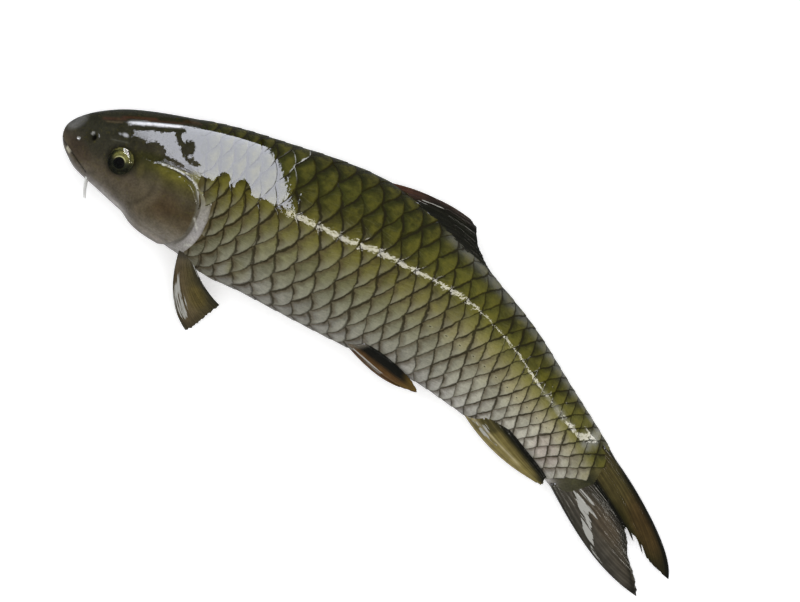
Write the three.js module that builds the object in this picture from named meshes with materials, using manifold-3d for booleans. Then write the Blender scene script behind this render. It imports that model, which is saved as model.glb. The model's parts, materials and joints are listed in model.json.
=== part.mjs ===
// Whole raw fish: a large-scaled freshwater fish with one pair of barbels, lying on its right side
// with its body bent a little towards the belly and its fins half closed.
// Millimetres, +X from head to tail, +Y towards the back, +Z up, out of the left flank.
// Every place on the fish is given by three numbers: s along the bent midline from the snout,
// n across it towards the back, and z above the surface that the fish lies on.

import * as THREE from 'three';
import { mergeVertices } from 'three/addons/utils/BufferGeometryUtils.js';
import Module from 'manifold-3d';

const wasm = await Module();
wasm.setup();

// ---- driving dimensions ----------------------------------------------------------------------

const SNOUT = -1.6;             // s of the tip of the snout
const BODY_END = 391;           // s where the tail stalk ends inside the tail fin
const SNOUT_HEIGHT = 0.8;       // n of the tip of the snout
const FLAT_FLOOR = 0;           // z of the surface that the right flank is pressed flat on

// the midline's direction, in degrees from +X: straight in the head, bent through the trunk and
// once more where the tail fin trails off
const HEAD_HEADING = 12.3;
const TRUNK_BEND = { turn: -26, from: 130, over: 196 };
const TAIL_BEND = { turn: -8.5, from: 336, over: 84 };

// the outline of the body without its fins, as [s, n] pairs
const BACK = [[SNOUT, SNOUT_HEIGHT], [3.6, 10.9], [13.2, 18.5], [31, 27.4], [43, 31.2], [67, 36.9],
  [97, 42.6], [133, 46.2], [157, 48.6], [184, 49.9], [216, 46.8], [240, 42.4], [259, 39.3],
  [301, 33.9], [331, 28.7], [355, 25.2], [384, 21.4], [BODY_END, 20.6]];
const BELLY = [[SNOUT, SNOUT_HEIGHT], [1.2, -7.3], [7.2, -13.7], [13.2, -18.2], [19.2, -20.7],
  [31, -24.6], [43, -28.9], [49, -31], [55.4, -34.5], [67, -37.5], [91, -41.2], [109, -46.2],
  [133, -47.2], [157, -48.9], [181, -49.7], [207, -48.7], [228, -46.2], [265, -38.9],
  [300, -32.4], [324, -26.6], [344, -22.4], [367, -19.9], [BODY_END, -20.4]];

// half the thickness of the body, and the n at which it is widest
const HALF_WIDTH = [[SNOUT, 0], [3.6, 7], [13.2, 12.6], [31, 18.8], [43, 21], [67, 24.4], [90, 26.4],
  [120, 28.4], [155, 29.3], [190, 28.8], [225, 26], [259, 21.8], [300, 16.2], [331, 12], [355, 8.8],
  [372, 6.4], [384, 4], [BODY_END, 2.4]];
const WIDEST_AT = [[SNOUT, SNOUT_HEIGHT], [31, -1.5], [67, -5], [97, -3], [133, 1], [181, 2.5],
  [259, 1.5], [331, 0.5], [BODY_END, 0]];

// height of the fish's middle plane: the head and the tail sag from the thick trunk to the surface
const MIDDLE_HEIGHT = [[SNOUT, 22.5], [45, 25.5], [90, 27.2], [180, 27.4], [250, 25.4], [320, 20],
  [384, 13.5], [430, 8.5], [470, 5]];

// how square the section is over the back and under the belly (2 is an ellipse)
const BACK_SQUARENESS = [[SNOUT, 2.2], [40, 2.6], [90, 2.4], [180, 2.25], [BODY_END, 2]];
const BELLY_SQUARENESS = 2.15;

// the gill cover: a raised plate with a round rear edge, and the bony band behind it
const GILL_COVER = { s: 66, n: -19, length: 26, height: 25, squareness: 2.8, raised: 1.6 };
const GILL_COVER_EDGE = 0.08;   // width of the plate's sloping edge, as a share of its radius
const CHEEK_FADE = 18;          // length over which the plate rises out of the cheek

const EYE = { s: 36.4, n: -4, ballRadius: 6.6, proud: 1.5, socketRadius: 9.4, socketDepth: 1.3 };
const NOSTRILS = [{ s: 9.6, n: -0.6, radius: 1.1 }, { s: 17.2, n: 3.4, radius: 2 }];
const MOUTH = { front: [-4, -1.2], corner: [21.6, -18.6], gape: 1.2, core: 0.78 };
const BARBEL = { root: 0.9, tip: 0.35, sides: 6, steps: 7 };

const RING_SIDES = 32;
const FIN_STEPS = 5;            // steps along a fin's rays
const FIN_EDGE = 0.55;          // half the thickness of a fin at its free edge

// ---- curves and places on the fish -----------------------------------------------------------

// A smooth curve through [s, value] pairs. The pairs are joined over the square root of the
// distance from the snout, which rounds the snout off.
function through(pairs) {
  const t = pairs.map(([s]) => Math.sqrt(Math.max(s - SNOUT, 0)));
  const v = pairs.map(([, value]) => value);
  const last = pairs.length - 1;
  const step = (i) => (v[i + 1] - v[i]) / (t[i + 1] - t[i]);
  const slope = v.map((_, i) => {
    if (i === 0) return step(0);
    if (i === last) return step(last - 1);
    return (step(i - 1) * (t[i + 1] - t[i]) + step(i) * (t[i] - t[i - 1])) / (t[i + 1] - t[i - 1]);
  });
  return (s) => {
    const x = Math.min(Math.max(Math.sqrt(Math.max(s - SNOUT, 0)), t[0]), t[last]);
    let i = 0;
    while (i < last - 1 && x > t[i + 1]) i += 1;
    const h = t[i + 1] - t[i];
    const u = (x - t[i]) / h;
    const rise = u * u * (3 - 2 * u);
    return v[i] * (1 - rise) + v[i + 1] * rise
      + h * u * (1 - u) * ((1 - u) * slope[i] - u * slope[i + 1]);
  };
}

const back = through(BACK);
const belly = through(BELLY);
const halfWidth = through(HALF_WIDTH);
const widestAt = through(WIDEST_AT);
const middleHeight = through(MIDDLE_HEIGHT);
const backSquareness = through(BACK_SQUARENESS);

const smooth = (x) => THREE.MathUtils.smoothstep(x, 0, 1);

function heading(s) {
  const trunk = TRUNK_BEND.turn * smooth((s - TRUNK_BEND.from) / TRUNK_BEND.over);
  const tail = TAIL_BEND.turn * smooth((s - TAIL_BEND.from) / TAIL_BEND.over);
  return THREE.MathUtils.degToRad(HEAD_HEADING + trunk + tail);
}

// the midline, walked in steps of 1 mm
const MIDLINE_START = -10;
const MIDLINE_LENGTH = 500;
const midline = [new THREE.Vector2(0, 0)];
for (let i = 0; i < MIDLINE_LENGTH; i += 1) {
  const direction = heading(MIDLINE_START + i + 0.5);
  const next = new THREE.Vector2(Math.cos(direction), Math.sin(direction));
  midline.push(next.add(midline[i]));
}

// the point in space that is s along the midline, n across it and z up
function place(s, n, z) {
  const x = s - MIDLINE_START;
  const i = Math.min(Math.max(Math.floor(x), 0), MIDLINE_LENGTH - 1);
  const foot = midline[i].clone().lerp(midline[i + 1], x - i);
  const direction = heading(s);
  return new THREE.Vector3(foot.x - n * Math.sin(direction), foot.y + n * Math.cos(direction), z);
}

// how far the gill cover stands out of the head at (s, n)
function gillCoverRelief(s, n) {
  const { length, height, squareness, raised } = GILL_COVER;
  const along = Math.max(s - GILL_COVER.s, 0) / length;
  const across = Math.abs(n - GILL_COVER.n) / height;
  const radius = (along ** squareness + across ** squareness) ** (1 / squareness);
  const plate = smooth((1 - radius) / GILL_COVER_EDGE);
  const front = smooth((s - (GILL_COVER.s - CHEEK_FADE)) / CHEEK_FADE);
  return raised * plate * front;
}

// half the thickness of the body at (s, n)
function skin(s, n) {
  const middle = widestAt(s);
  const reach = n > middle ? back(s) - middle : middle - belly(s);
  const square = n > middle ? backSquareness(s) : BELLY_SQUARENESS;
  const share = Math.min(Math.abs(n - middle) / reach, 1);
  return halfWidth(s) * (1 - share ** square) ** (1 / square);
}

// ---- solids ----------------------------------------------------------------------------------

function signedVolume(position, index) {
  const [a, b, c] = [0, 1, 2].map(() => new THREE.Vector3());
  let volume = 0;
  for (let i = 0; i < index.length; i += 3) {
    a.fromBufferAttribute(position, index[i]);
    b.fromBufferAttribute(position, index[i + 1]);
    c.fromBufferAttribute(position, index[i + 2]);
    volume += a.dot(b.cross(c)) / 6;
  }
  return volume;
}

// The solid inside a closed geometry. One whose triangles all face inwards is turned first.
function solidOf(geometry) {
  geometry.deleteAttribute('normal');
  geometry.deleteAttribute('uv');
  const merged = mergeVertices(geometry, 1e-5);
  const index = [...merged.index.array];
  if (signedVolume(merged.attributes.position, index) < 0) index.reverse();
  return new wasm.Manifold(new wasm.Mesh({
    numProp: 3,
    vertProperties: new Float32Array(merged.attributes.position.array),
    triVerts: new Uint32Array(index),
  }));
}

function indexed(points, triangles) {
  const geometry = new THREE.BufferGeometry().setFromPoints(points);
  geometry.setIndex(triangles);
  return solidOf(geometry);
}

// A closed solid through rings of points, each ring turning the same way, with a point at each end.
function loft(rings, firstPoint, lastPoint) {
  const sides = rings[0].length;
  const points = [firstPoint, ...rings.flat(), lastPoint];
  const end = points.length - 1;
  const triangles = [];
  const corner = (ring, side) => 1 + ring * sides + (side % sides);
  for (let side = 0; side < sides; side += 1) {
    triangles.push(0, corner(0, side + 1), corner(0, side));
    triangles.push(end, corner(rings.length - 1, side), corner(rings.length - 1, side + 1));
    for (let ring = 0; ring < rings.length - 1; ring += 1) {
      const a = corner(ring, side);
      const b = corner(ring, side + 1);
      const c = corner(ring + 1, side + 1);
      const d = corner(ring + 1, side);
      triangles.push(a, b, c, a, c, d);
    }
  }
  return indexed(points, triangles);
}

// One ring of the body, from the middle of the left flank over the back. share draws it in
// towards its own middle.
function bodyRing(s, share = 1) {
  const middle = widestAt(s);
  const ring = [];
  for (let side = 0; side < RING_SIDES; side += 1) {
    const angle = (2 * Math.PI * side) / RING_SIDES;
    const up = Math.sin(angle);
    const out = Math.cos(angle);
    const square = up > 0 ? backSquareness(s) : BELLY_SQUARENESS;
    const reach = up > 0 ? back(s) - middle : middle - belly(s);
    const n = middle + share * reach * Math.sign(up) * Math.abs(up) ** (2 / square);
    const plate = gillCoverRelief(s, n) * Math.abs(out);
    const half = share * halfWidth(s) * Math.abs(out) ** (2 / square) + plate;
    ring.push(place(s, n, Math.max(middleHeight(s) + Math.sign(out) * half, FLAT_FLOOR)));
  }
  return ring;
}

// Rings stand closest at the round snout and at the gill cover's rear edge.
function bodyStations() {
  const stations = [];
  for (let t = 0.45; t < 4.6; t += 0.46) stations.push(SNOUT + t * t);
  for (let s = 24; s < 84; s += 4.8) stations.push(s);
  for (let s = 84; s < 97; s += 2.2) stations.push(s);
  for (let s = 99; s < 380; s += 8) stations.push(s);
  for (let s = 382; s < BODY_END; s += 3) stations.push(s);
  return stations;
}

function body() {
  const rings = bodyStations().map((s) => bodyRing(s));
  const snout = place(SNOUT, SNOUT_HEIGHT, middleHeight(SNOUT));
  const end = place(BODY_END, 0, middleHeight(BODY_END));
  return loft(rings, snout, end);
}

// A fin is a fan of rays. Each ray is a curve that leaves the fin's base towards its bow and ends
// at its tip. bases, bows and tips are [s, n, z] places, each spread evenly from the first ray to
// the last. root is half the thickness at the base, and pleat is the depth of the folds.
function fin({ bases, bows, tips, root, rays, pleat = 0 }) {
  const steps = FIN_STEPS;
  const path = (places) => new THREE.CatmullRomCurve3(places.map(([s, n, z]) => new THREE.Vector3(s, n, z)));
  const [base, bow, tip] = [bases, bows, tips].map(path);
  const middle = (u, v) => {
    const a = base.getPoint(u).multiplyScalar((1 - v) ** 2);
    const b = bow.getPoint(u).multiplyScalar(2 * v * (1 - v));
    const c = tip.getPoint(u).multiplyScalar(v * v);
    return a.add(b).add(c);
  };
  const columns = rays * 2;
  const face = (sign) => {
    const grid = [];
    for (let i = 0; i <= columns; i += 1) {
      for (let j = 0; j <= steps; j += 1) {
        const v = j / steps;
        const p = middle(i / columns, v);
        const fold = (i % 2 === 0 ? 0.5 : -0.5) * pleat * v;
        const half = THREE.MathUtils.lerp(root, FIN_EDGE, v ** 0.6);
        grid.push(place(p.x, p.y, Math.max(p.z + fold, FLAT_FLOOR + half) + sign * half));
      }
    }
    return grid;
  };
  const points = [...face(1), ...face(-1)];
  const under = points.length / 2;
  const at = (i, j) => i * (steps + 1) + j;
  const triangles = [];
  const quad = (a, b, c, d) => triangles.push(a, b, c, a, c, d);
  for (let i = 0; i < columns; i += 1) {
    for (let j = 0; j < steps; j += 1) {
      quad(at(i, j), at(i + 1, j), at(i + 1, j + 1), at(i, j + 1));
      quad(under + at(i, j), under + at(i, j + 1), under + at(i + 1, j + 1), under + at(i + 1, j));
    }
    quad(at(i, 0), under + at(i, 0), under + at(i + 1, 0), at(i + 1, 0));
    quad(at(i + 1, steps), under + at(i + 1, steps), under + at(i, steps), at(i, steps));
  }
  for (let j = 0; j < steps; j += 1) {
    quad(at(0, j), at(0, j + 1), under + at(0, j + 1), under + at(0, j));
    quad(at(columns, j), under + at(columns, j), under + at(columns, j + 1), at(columns, j + 1));
  }
  return indexed(points, triangles);
}

// ---- fins ------------------------------------------------------------------------------------

const mid = (s, above = 0) => middleHeight(s) + above;

// folded back along the rear slope of the back
function dorsalFin() {
  return fin({
    bases: [[184, 48.2, mid(184)], [204, 46.8, mid(204)], [222, 43, mid(222)], [237, 39.5, mid(237)]],
    bows: [[208, 57.6, mid(208)], [216, 53, mid(214, 2)], [229, 47, mid(229, 2)], [246, 41.5, mid(246, 1)]],
    tips: [[231, 57, mid(230)], [236.8, 54.6, mid(236, 1)], [241, 48.4, mid(241, 2)],
      [247, 44.4, mid(247, 2)], [253, 41.2, mid(253, 2)], [261, 38.6, mid(261, 1)]],
    root: 2,
    rays: 9,
    pleat: 0.5,
  });
}

// folded back under the tail stalk, its last rays laid over the left flank
function analFin() {
  return fin({
    bases: [[298, -30, mid(299)], [309, -28, mid(309)], [319, -25.5, mid(319, 1)], [328, -22, mid(328, 3)]],
    bows: [[334, -36.8, mid(326, 1)], [335, -29.6, mid(333, 3)], [337, -23, mid(337, 7)],
      [343, -17.2, mid(343, 8.6)]],
    tips: [[365, -25, mid(362, 2)], [369, -23, mid(369, 4)], [368, -21.2, mid(368, 6)],
      [366, -18.8, mid(366, 8)]],
    root: 1.8,
    rays: 7,
    pleat: 0.5,
  });
}

// The left fin of the belly pair lies against the belly's edge. side is 1 for it and -1 for the
// right one, which lies under it, and reach is how much farther out that one bows.
function pelvicFin(side, reach) {
  const beside = (s, off) => mid(s, side * off);
  return fin({
    bases: [[214 - 1.5 * reach, -45.4, beside(214, 9)], [219, -44, beside(219, 12)],
      [223, -41.5, beside(223, 14)]],
    bows: [[241, -51 - reach, beside(240, 8)], [242, -46, beside(242, 12)], [246, -40.6, beside(246, 14)]],
    tips: [[262, -46.4 - reach / 5, beside(262, 2)], [273, -42.6, beside(274, 2)],
      [268, -41, beside(268, 4)]],
    root: 1.6,
    rays: 6,
    pleat: 0.4,
  });
}

// the left chest fin hangs open from behind the gill cover, down to the surface
function leftPectoralFin() {
  return fin({
    bases: [[90.5, -35, 38], [92, -35.4, 38.6], [95, -35.8, 38.6], [98.5, -36.2, 38]],
    bows: [[88, -69, 27], [98, -62, 28], [104, -58, 29], [110.5, -52.6, 30]],
    tips: [[112.8, -82.4, 9], [118.4, -73.4, 11], [121.8, -66.6, 13], [125.2, -60, 15]],
    root: 1.8,
    rays: 11,
    pleat: 0.9,
  });
}

// the right one is folded back flat between the belly and the surface
function rightPectoralFin() {
  return fin({
    bases: [[91, -34, 16], [93, -32, 14], [95, -29, 12], [96, -26, 10]],
    bows: [[112, -42, 9], [112, -38, 6], [112, -34, 4], [112, -29, 3]],
    tips: [[139, -42.5, 5], [137, -37.6, 3], [132, -33, 2], [125, -29, 1.4]],
    root: 1.4,
    rays: 4,
  });
}

// Two lobes that lap at a crease behind the tail stalk's middle. The crease lies lowest.
function tailFin() {
  return fin({
    bases: [[372, 21, mid(372)], [380, 9, mid(378, -1)], [380, -6, mid(380, -1)], [371, -19, mid(371)]],
    bows: [[446, 22.4, mid(430, 4)], [418, 12, mid(418, 2)], [402, 4, mid(400, -2)],
      [412, -7, mid(412, 1)], [425, -28.4, mid(420, 3)]],
    tips: [[460.6, 8.6, mid(460, 3)], [452, 6.2, mid(452, 2)], [441, 4.6, mid(441, 1)],
      [429, 3.8, mid(429)], [420.4, 3, mid(421, -1)], [427.6, 0.4, mid(427)], [435, -4, mid(435, 1)],
      [448, -7.4, mid(446, 2)], [460, -12.4, mid(460, 2)]],
    root: 3.2,
    rays: 12,
    pleat: 0.5,
  });
}

// ---- head ------------------------------------------------------------------------------------

// the place on one flank's skin at (s, n), and the direction straight out of it
function onSkin(side, s, n) {
  const at = (a, b) => place(a, b, middleHeight(a) + side * skin(a, b));
  const along = at(s + 1, n).sub(at(s - 1, n));
  const across = at(s, n + 1).sub(at(s, n - 1));
  return { point: at(s, n), out: along.cross(across).normalize().multiplyScalar(side) };
}

// a ball let into the skin of one flank at (s, n), its top standing proud of the skin
function ball(side, { s, n, radius, proud }, detail) {
  const { point, out } = onSkin(side, s, n);
  const centre = point.addScaledVector(out, proud - radius);
  const geometry = new THREE.SphereGeometry(radius, detail, detail / 2);
  geometry.rotateX(Math.PI / 2);
  geometry.translate(centre.x, centre.y, centre.z);
  return solidOf(geometry);
}

const eyeBall = (side) => ball(side, { ...EYE, radius: EYE.ballRadius, proud: EYE.proud }, 16);

// the shallow dish around the eye, the foot of a much larger ball
function eyeSocket(side) {
  const { socketRadius, socketDepth } = EYE;
  const radius = (socketRadius ** 2 + socketDepth ** 2) / (2 * socketDepth);
  return ball(side, { ...EYE, radius, proud: 2 * radius - socketDepth }, 36);
}

const nostril = (side, hole) => ball(side, { ...hole, proud: hole.radius * 0.6 }, 10);

// The mouth's slit: a thin wedge across the snout that leaves the inside of the head whole.
function mouthSlit() {
  const { front: [s, n], corner, gape, core } = MOUTH;
  const outline = [[s, n + gape / 2], [s, n - gape / 2], corner].map(([a, b]) => place(a, b, 0));
  const wedge = new THREE.ExtrudeGeometry(new THREE.Shape(outline), { depth: 60, bevelEnabled: false });
  const stations = [2, 6, 12, 18, 24, 30];
  const inside = loft(
    stations.map((station) => bodyRing(station, core)),
    place(stations[0], SNOUT_HEIGHT, middleHeight(0)),
    place(stations.at(-1), 0, middleHeight(stations.at(-1))),
  );
  return solidOf(wedge).subtract(inside);
}

// a thin thread that hangs from the corner of the mouth
function barbel(side) {
  const [s, n] = MOUTH.corner;
  const height = middleHeight(s) + side * 7;
  const curve = new THREE.CatmullRomCurve3([
    place(s - 1, n + 2.5, height - side),
    place(s + 0.4, n - 2.5, height),
    place(s + 2, n - 8, height - 1.5),
    place(s + 4, n - 13.8, height - 4),
  ]);
  const rings = [];
  for (let i = 0; i <= BARBEL.steps; i += 1) {
    const share = i / BARBEL.steps;
    const along = curve.getTangent(share);
    const across = new THREE.Vector3(0, 0, 1).cross(along).normalize();
    const up = along.clone().cross(across);
    const radius = THREE.MathUtils.lerp(BARBEL.root, BARBEL.tip, share);
    const ring = [];
    for (let corner = 0; corner < BARBEL.sides; corner += 1) {
      const angle = (2 * Math.PI * corner) / BARBEL.sides;
      const point = curve.getPoint(share).addScaledVector(across, radius * Math.cos(angle));
      ring.push(point.addScaledVector(up, radius * Math.sin(angle)));
    }
    rings.push(ring);
  }
  return loft(rings, curve.getPoint(0), curve.getPoint(1));
}

// ---- the whole fish --------------------------------------------------------------------------

function fish() {
  const sides = [1, -1];
  const fins = [
    dorsalFin(),
    analFin(),
    pelvicFin(1, 0),
    pelvicFin(-1, 4),
    leftPectoralFin(),
    rightPectoralFin(),
    tailFin(),
  ];
  let whole = fins.reduce((sum, one) => sum.add(one), body());
  for (const side of sides) {
    whole = whole.subtract(eyeSocket(side)).add(eyeBall(side));
    for (const hole of NOSTRILS) whole = whole.subtract(nostril(side, hole));
  }
  whole = whole.subtract(mouthSlit());
  return sides.reduce((sum, side) => sum.add(barbel(side)), whole);
}

function meshOf(solid, name, material) {
  const { vertProperties, triVerts } = solid.getMesh();
  const geometry = new THREE.BufferGeometry();
  geometry.setAttribute('position', new THREE.BufferAttribute(vertProperties, 3));
  geometry.setIndex(new THREE.BufferAttribute(triVerts, 1));
  geometry.computeVertexNormals();
  geometry.name = name;
  const mesh = new THREE.Mesh(geometry, material);
  mesh.name = name;
  return mesh;
}

const wetSkin = new THREE.MeshStandardMaterial({ color: 0x565636, roughness: 0.3, metalness: 0 });
const wholeFish = meshOf(fish(), 'fish', wetSkin);

// the origin is under the middle of the fish's box, on the surface that it lies on
wholeFish.geometry.computeBoundingBox();
const centre = wholeFish.geometry.boundingBox.getCenter(new THREE.Vector3());
wholeFish.geometry.translate(-centre.x, -centre.y, -FLAT_FLOOR);

const group = new THREE.Group();
group.add(wholeFish);

export default group;
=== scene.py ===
"""Whole raw fish: a large-scaled freshwater fish lying on its right side, wet, with half-closed fins.

Every place on the fish is given by s along its bent midline from the snout, n across it towards
the back, and z above the surface that it lies on, all in millimetres. place() turns them into
metres in the frame. Pieces: the skin, the scales, seven fins, two eyes with corneas and barbels.
"""

import json
import math

import bmesh
import bpy
import numpy as np
from bpy.props import FloatProperty, FloatVectorProperty, IntProperty, PointerProperty
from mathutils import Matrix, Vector

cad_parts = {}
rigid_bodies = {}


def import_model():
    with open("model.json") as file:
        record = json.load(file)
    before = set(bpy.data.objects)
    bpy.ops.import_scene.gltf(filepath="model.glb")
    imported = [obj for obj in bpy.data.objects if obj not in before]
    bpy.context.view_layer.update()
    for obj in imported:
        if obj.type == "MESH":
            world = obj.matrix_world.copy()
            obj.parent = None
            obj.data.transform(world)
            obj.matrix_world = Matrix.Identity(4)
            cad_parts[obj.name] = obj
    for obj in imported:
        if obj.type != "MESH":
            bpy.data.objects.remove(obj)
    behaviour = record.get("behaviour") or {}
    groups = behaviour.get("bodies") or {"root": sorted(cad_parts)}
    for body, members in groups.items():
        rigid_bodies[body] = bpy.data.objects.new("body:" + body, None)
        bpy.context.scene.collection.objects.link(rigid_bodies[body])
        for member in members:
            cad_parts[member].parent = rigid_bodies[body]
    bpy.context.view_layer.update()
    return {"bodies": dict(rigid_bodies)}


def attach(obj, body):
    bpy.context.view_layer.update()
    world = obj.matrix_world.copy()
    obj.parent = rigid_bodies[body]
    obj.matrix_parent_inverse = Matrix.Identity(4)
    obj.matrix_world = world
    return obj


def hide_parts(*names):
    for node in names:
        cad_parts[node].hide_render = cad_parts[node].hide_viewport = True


bl_info = {
    "name": "Whole Raw Fish",
    "version": (1, 0, 0),
    "blender": (4, 5, 0),
    "location": "View3D > Sidebar > Fish",
    "description": "Builds a wet, large-scaled whole fish around its solid",
    "category": "Add Mesh",
}

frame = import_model()
BODY = next(iter(frame["bodies"]))
NODE = "fish"
MM = 0.001

# ---- the fish's own sizes, in millimetres ----------------------------------------------------

CENTRE = (234.251, 22.522)      # the middle of its plan box, from the start of the midline
SNOUT = -1.6                    # s at the tip of the snout
BODY_END = 391
SNOUT_HEIGHT = 0.8

HEAD_HEADING = 12.3
TRUNK_BEND = (-26, 130, 196)    # degrees turned, from s, over a length
TAIL_BEND = (-8.5, 336, 84)

BACK = [(SNOUT, SNOUT_HEIGHT), (3.6, 10.9), (13.2, 18.5), (31, 27.4), (43, 31.2), (67, 36.9),
        (97, 42.6), (133, 46.2), (157, 48.6), (184, 49.9), (216, 46.8), (240, 42.4), (259, 39.3),
        (301, 33.9), (331, 28.7), (355, 25.2), (384, 21.4), (BODY_END, 20.6)]
BELLY = [(SNOUT, SNOUT_HEIGHT), (1.2, -7.3), (7.2, -13.7), (13.2, -18.2), (19.2, -20.7),
         (31, -24.6), (43, -28.9), (49, -31), (55.4, -34.5), (67, -37.5), (91, -41.2), (109, -46.2),
         (133, -47.2), (157, -48.9), (181, -49.7), (207, -48.7), (228, -46.2), (265, -38.9),
         (300, -32.4), (324, -26.6), (344, -22.4), (367, -19.9), (BODY_END, -20.4)]
HALF_WIDTH = [(SNOUT, 0), (3.6, 7), (13.2, 12.6), (31, 18.8), (43, 21), (67, 24.4), (90, 26.4),
              (120, 28.4), (155, 29.3), (190, 28.8), (225, 26), (259, 21.8), (300, 16.2), (331, 12),
              (355, 8.8), (372, 6.4), (384, 4), (BODY_END, 2.4)]
WIDEST_AT = [(SNOUT, SNOUT_HEIGHT), (31, -1.5), (67, -5), (97, -3), (133, 1), (181, 2.5),
             (259, 1.5), (331, 0.5), (BODY_END, 0)]
MIDDLE_HEIGHT = [(SNOUT, 22.5), (45, 25.5), (90, 27.2), (180, 27.4), (250, 25.4), (320, 20),
                 (384, 13.5), (430, 8.5), (470, 5)]
BACK_SQUARENESS = [(SNOUT, 2.2), (40, 2.6), (90, 2.4), (180, 2.25), (BODY_END, 2)]
BELLY_SQUARENESS = 2.15

GILL_COVER = {"s": 66, "n": -18.6, "length": 27.4, "height": 23, "square": 2.5, "raised": 1.6}
GILL_EDGE = 0.08                # width of the plate's rounded edge, as a share of its radius
CHEEK_FADE = 18
EYE = {"s": 38.4, "n": -3.6, "iris": 6.8, "cornea": 8.2}
NOSTRILS = [(9.6, -0.6, 1.0), (17.6, 3.2, 1.9)]
MOUTH_FRONT = (-4, -3)
MOUTH_CORNER = (21.6, -18.6)
BARBEL = (0.9, 0.3)
FIN_EDGE = 0.4                  # half the thickness of a fin at its free edge

# the scales: their spacing along the body, where they begin and end for a share of the girth
# counted from the middle of the back (0) to the middle of the belly (1), and the girth share of
# the row with the side line
SCALE_PITCH = [(60, 8.2), (100, 8.6), (118, 9.5), (135, 12.4), (153, 13.5), (170, 13.9), (185, 12.9),
               (197, 11.9), (217, 11.5), (240, 10.8), (260, 10.5), (275, 10), (290, 9.4), (308, 8.8),
               (334, 8.4), (350, 8.7), (BODY_END, 9.2)]
ROW_LEAN = [(60, -3.5), (150, -3.4), (185, -3.1), (215, -1.9), (240, -1.2), (258, 0), (BODY_END, 0)]
LEANS_BELOW = 5                 # rows below this one each start ROW_LEAN further on
FIRST_COLUMN = 63.1
SCALES_BEGIN = [(0, 72), (0.12, 77), (0.24, 88), (0.36, 93), (0.44, 89), (0.5, 91.5), (0.56, 98),
                (0.63, 103), (0.7, 105), (0.85, 103), (1, 94)]
SCALES_END = [(0, 377), (0.2, 384), (0.36, 387), (0.54, 383), (0.7, 381), (0.85, 376), (1, 368)]
SIDE_LINE = [(60, 0.6), (102, 0.622), (115, 0.64), (150, 0.652), (192, 0.642), (222, 0.614), (239, 0.598),
             (250, 0.575), (261, 0.556), (280, 0.545), (300, 0.536), (330, 0.529), (BODY_END, 0.52)]
ROWS_A_SIDE = 10
SIDE_LINE_ROW = 6
ROWS_LOST = [(170, 0), (213, 0.25), (240, 1), (260, 1.4), (280, 1.8), (300, 2.2), (330, 2.4), (BODY_END, 2.5)]
SCALE_BED = 0.55                # how far the skin sinks under the scales
EDGE_REACH = 0.52               # how far a scale's rear edge falls back at its neighbours' rows
EDGE_ROUND = 1.85               # how round that edge is on the trunk, and towards the tail
EDGE_ROUND_ASTERN = 1.2
SCALE_ROOT = -1.3               # where a scale's hidden root lies, in spacings from its tip
# s, top and half width of two bands behind the head where the film of water is broken
DRY_BANDS = ((99.3, 8.4, 4.5), (112, 8.8, 5.4))

# ---- curves and places on the fish -----------------------------------------------------------

FLANK_POINTS = 241              # points round one flank in a section of the body
TABLE_START = 50                # the station where the table of the flank begins
TABLE_SHARES = 161              # shares of the girth in it
STREAK_END = 0.12               # the share of a streak over which each of its ends fades
SPOT_CORE = 0.6                 # the share of a spot's radius where it begins to fade
SPOT_FADE = 0.8                 # and over which it does


def through(pairs):
    """A smooth curve through (s, value) pairs, joined over the root of the distance from the snout."""
    s, v = np.array(pairs, float).T
    t = np.sqrt(s - SNOUT)
    gap = np.diff(t)
    step = np.diff(v) / gap
    slope = np.concatenate(([step[0]], np.zeros(len(v) - 2), [step[-1]]))
    slope[1:-1] = (step[:-1] * gap[1:] + step[1:] * gap[:-1]) / (gap[1:] + gap[:-1])

    def value(at):
        """The curve's value at one s or many."""
        x = np.clip(np.sqrt(np.maximum(np.asarray(at, float) - SNOUT, 0)), t[0], t[-1])
        i = np.clip(np.searchsorted(t, x, side="right") - 1, 0, len(t) - 2)
        u = (x - t[i]) / gap[i]
        rise = u * u * (3 - 2 * u)
        bend = gap[i] * u * (1 - u) * ((1 - u) * slope[i] - u * slope[i + 1])
        return v[i] * (1 - rise) + v[i + 1] * rise + bend

    return value


back = through(BACK)
belly = through(BELLY)
half_width = through(HALF_WIDTH)
widest_at = through(WIDEST_AT)
middle_height = through(MIDDLE_HEIGHT)
back_squareness = through(BACK_SQUARENESS)
side_line = through(SIDE_LINE)
scale_pitch = through(SCALE_PITCH)


def smooth(x):
    """0 below 0, 1 above 1, and a smooth rise between them."""
    x = np.clip(x, 0, 1)
    return x * x * (3 - 2 * x)


def hump(distance, width):
    """1 at distance 0, falling smoothly to nothing at about twice the width."""
    return np.exp(-((distance / width) ** 2))


def heading(s):
    """The midline's direction at s, in radians from +X."""
    turned = HEAD_HEADING
    for turn, start, length in (TRUNK_BEND, TAIL_BEND):
        turned = turned + turn * smooth((np.asarray(s, float) - start) / length)
    return np.radians(turned)


# the midline's course, in steps of a millimetre from ahead of the snout to behind the tail
MIDLINE_START, MIDLINE_END = -10, 490
MIDLINE_S = np.arange(MIDLINE_START, MIDLINE_END + 1)
MIDLINE_HEADINGS = heading(MIDLINE_S[:-1] + 0.5)
MIDLINE_X = np.concatenate(([0], np.cumsum(np.cos(MIDLINE_HEADINGS))))
MIDLINE_Y = np.concatenate(([0], np.cumsum(np.sin(MIDLINE_HEADINGS))))


def place(s, n, z):
    """The point in the frame, in metres, that is s along the midline, n across it and z up."""
    s, n, z = np.broadcast_arrays(np.asarray(s, float), n, z)
    direction = heading(s)
    x = np.interp(s, MIDLINE_S, MIDLINE_X) - n * np.sin(direction) - CENTRE[0]
    y = np.interp(s, MIDLINE_S, MIDLINE_Y) + n * np.cos(direction) - CENTRE[1]
    return np.stack([x, y, z], axis=-1) * MM


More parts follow.
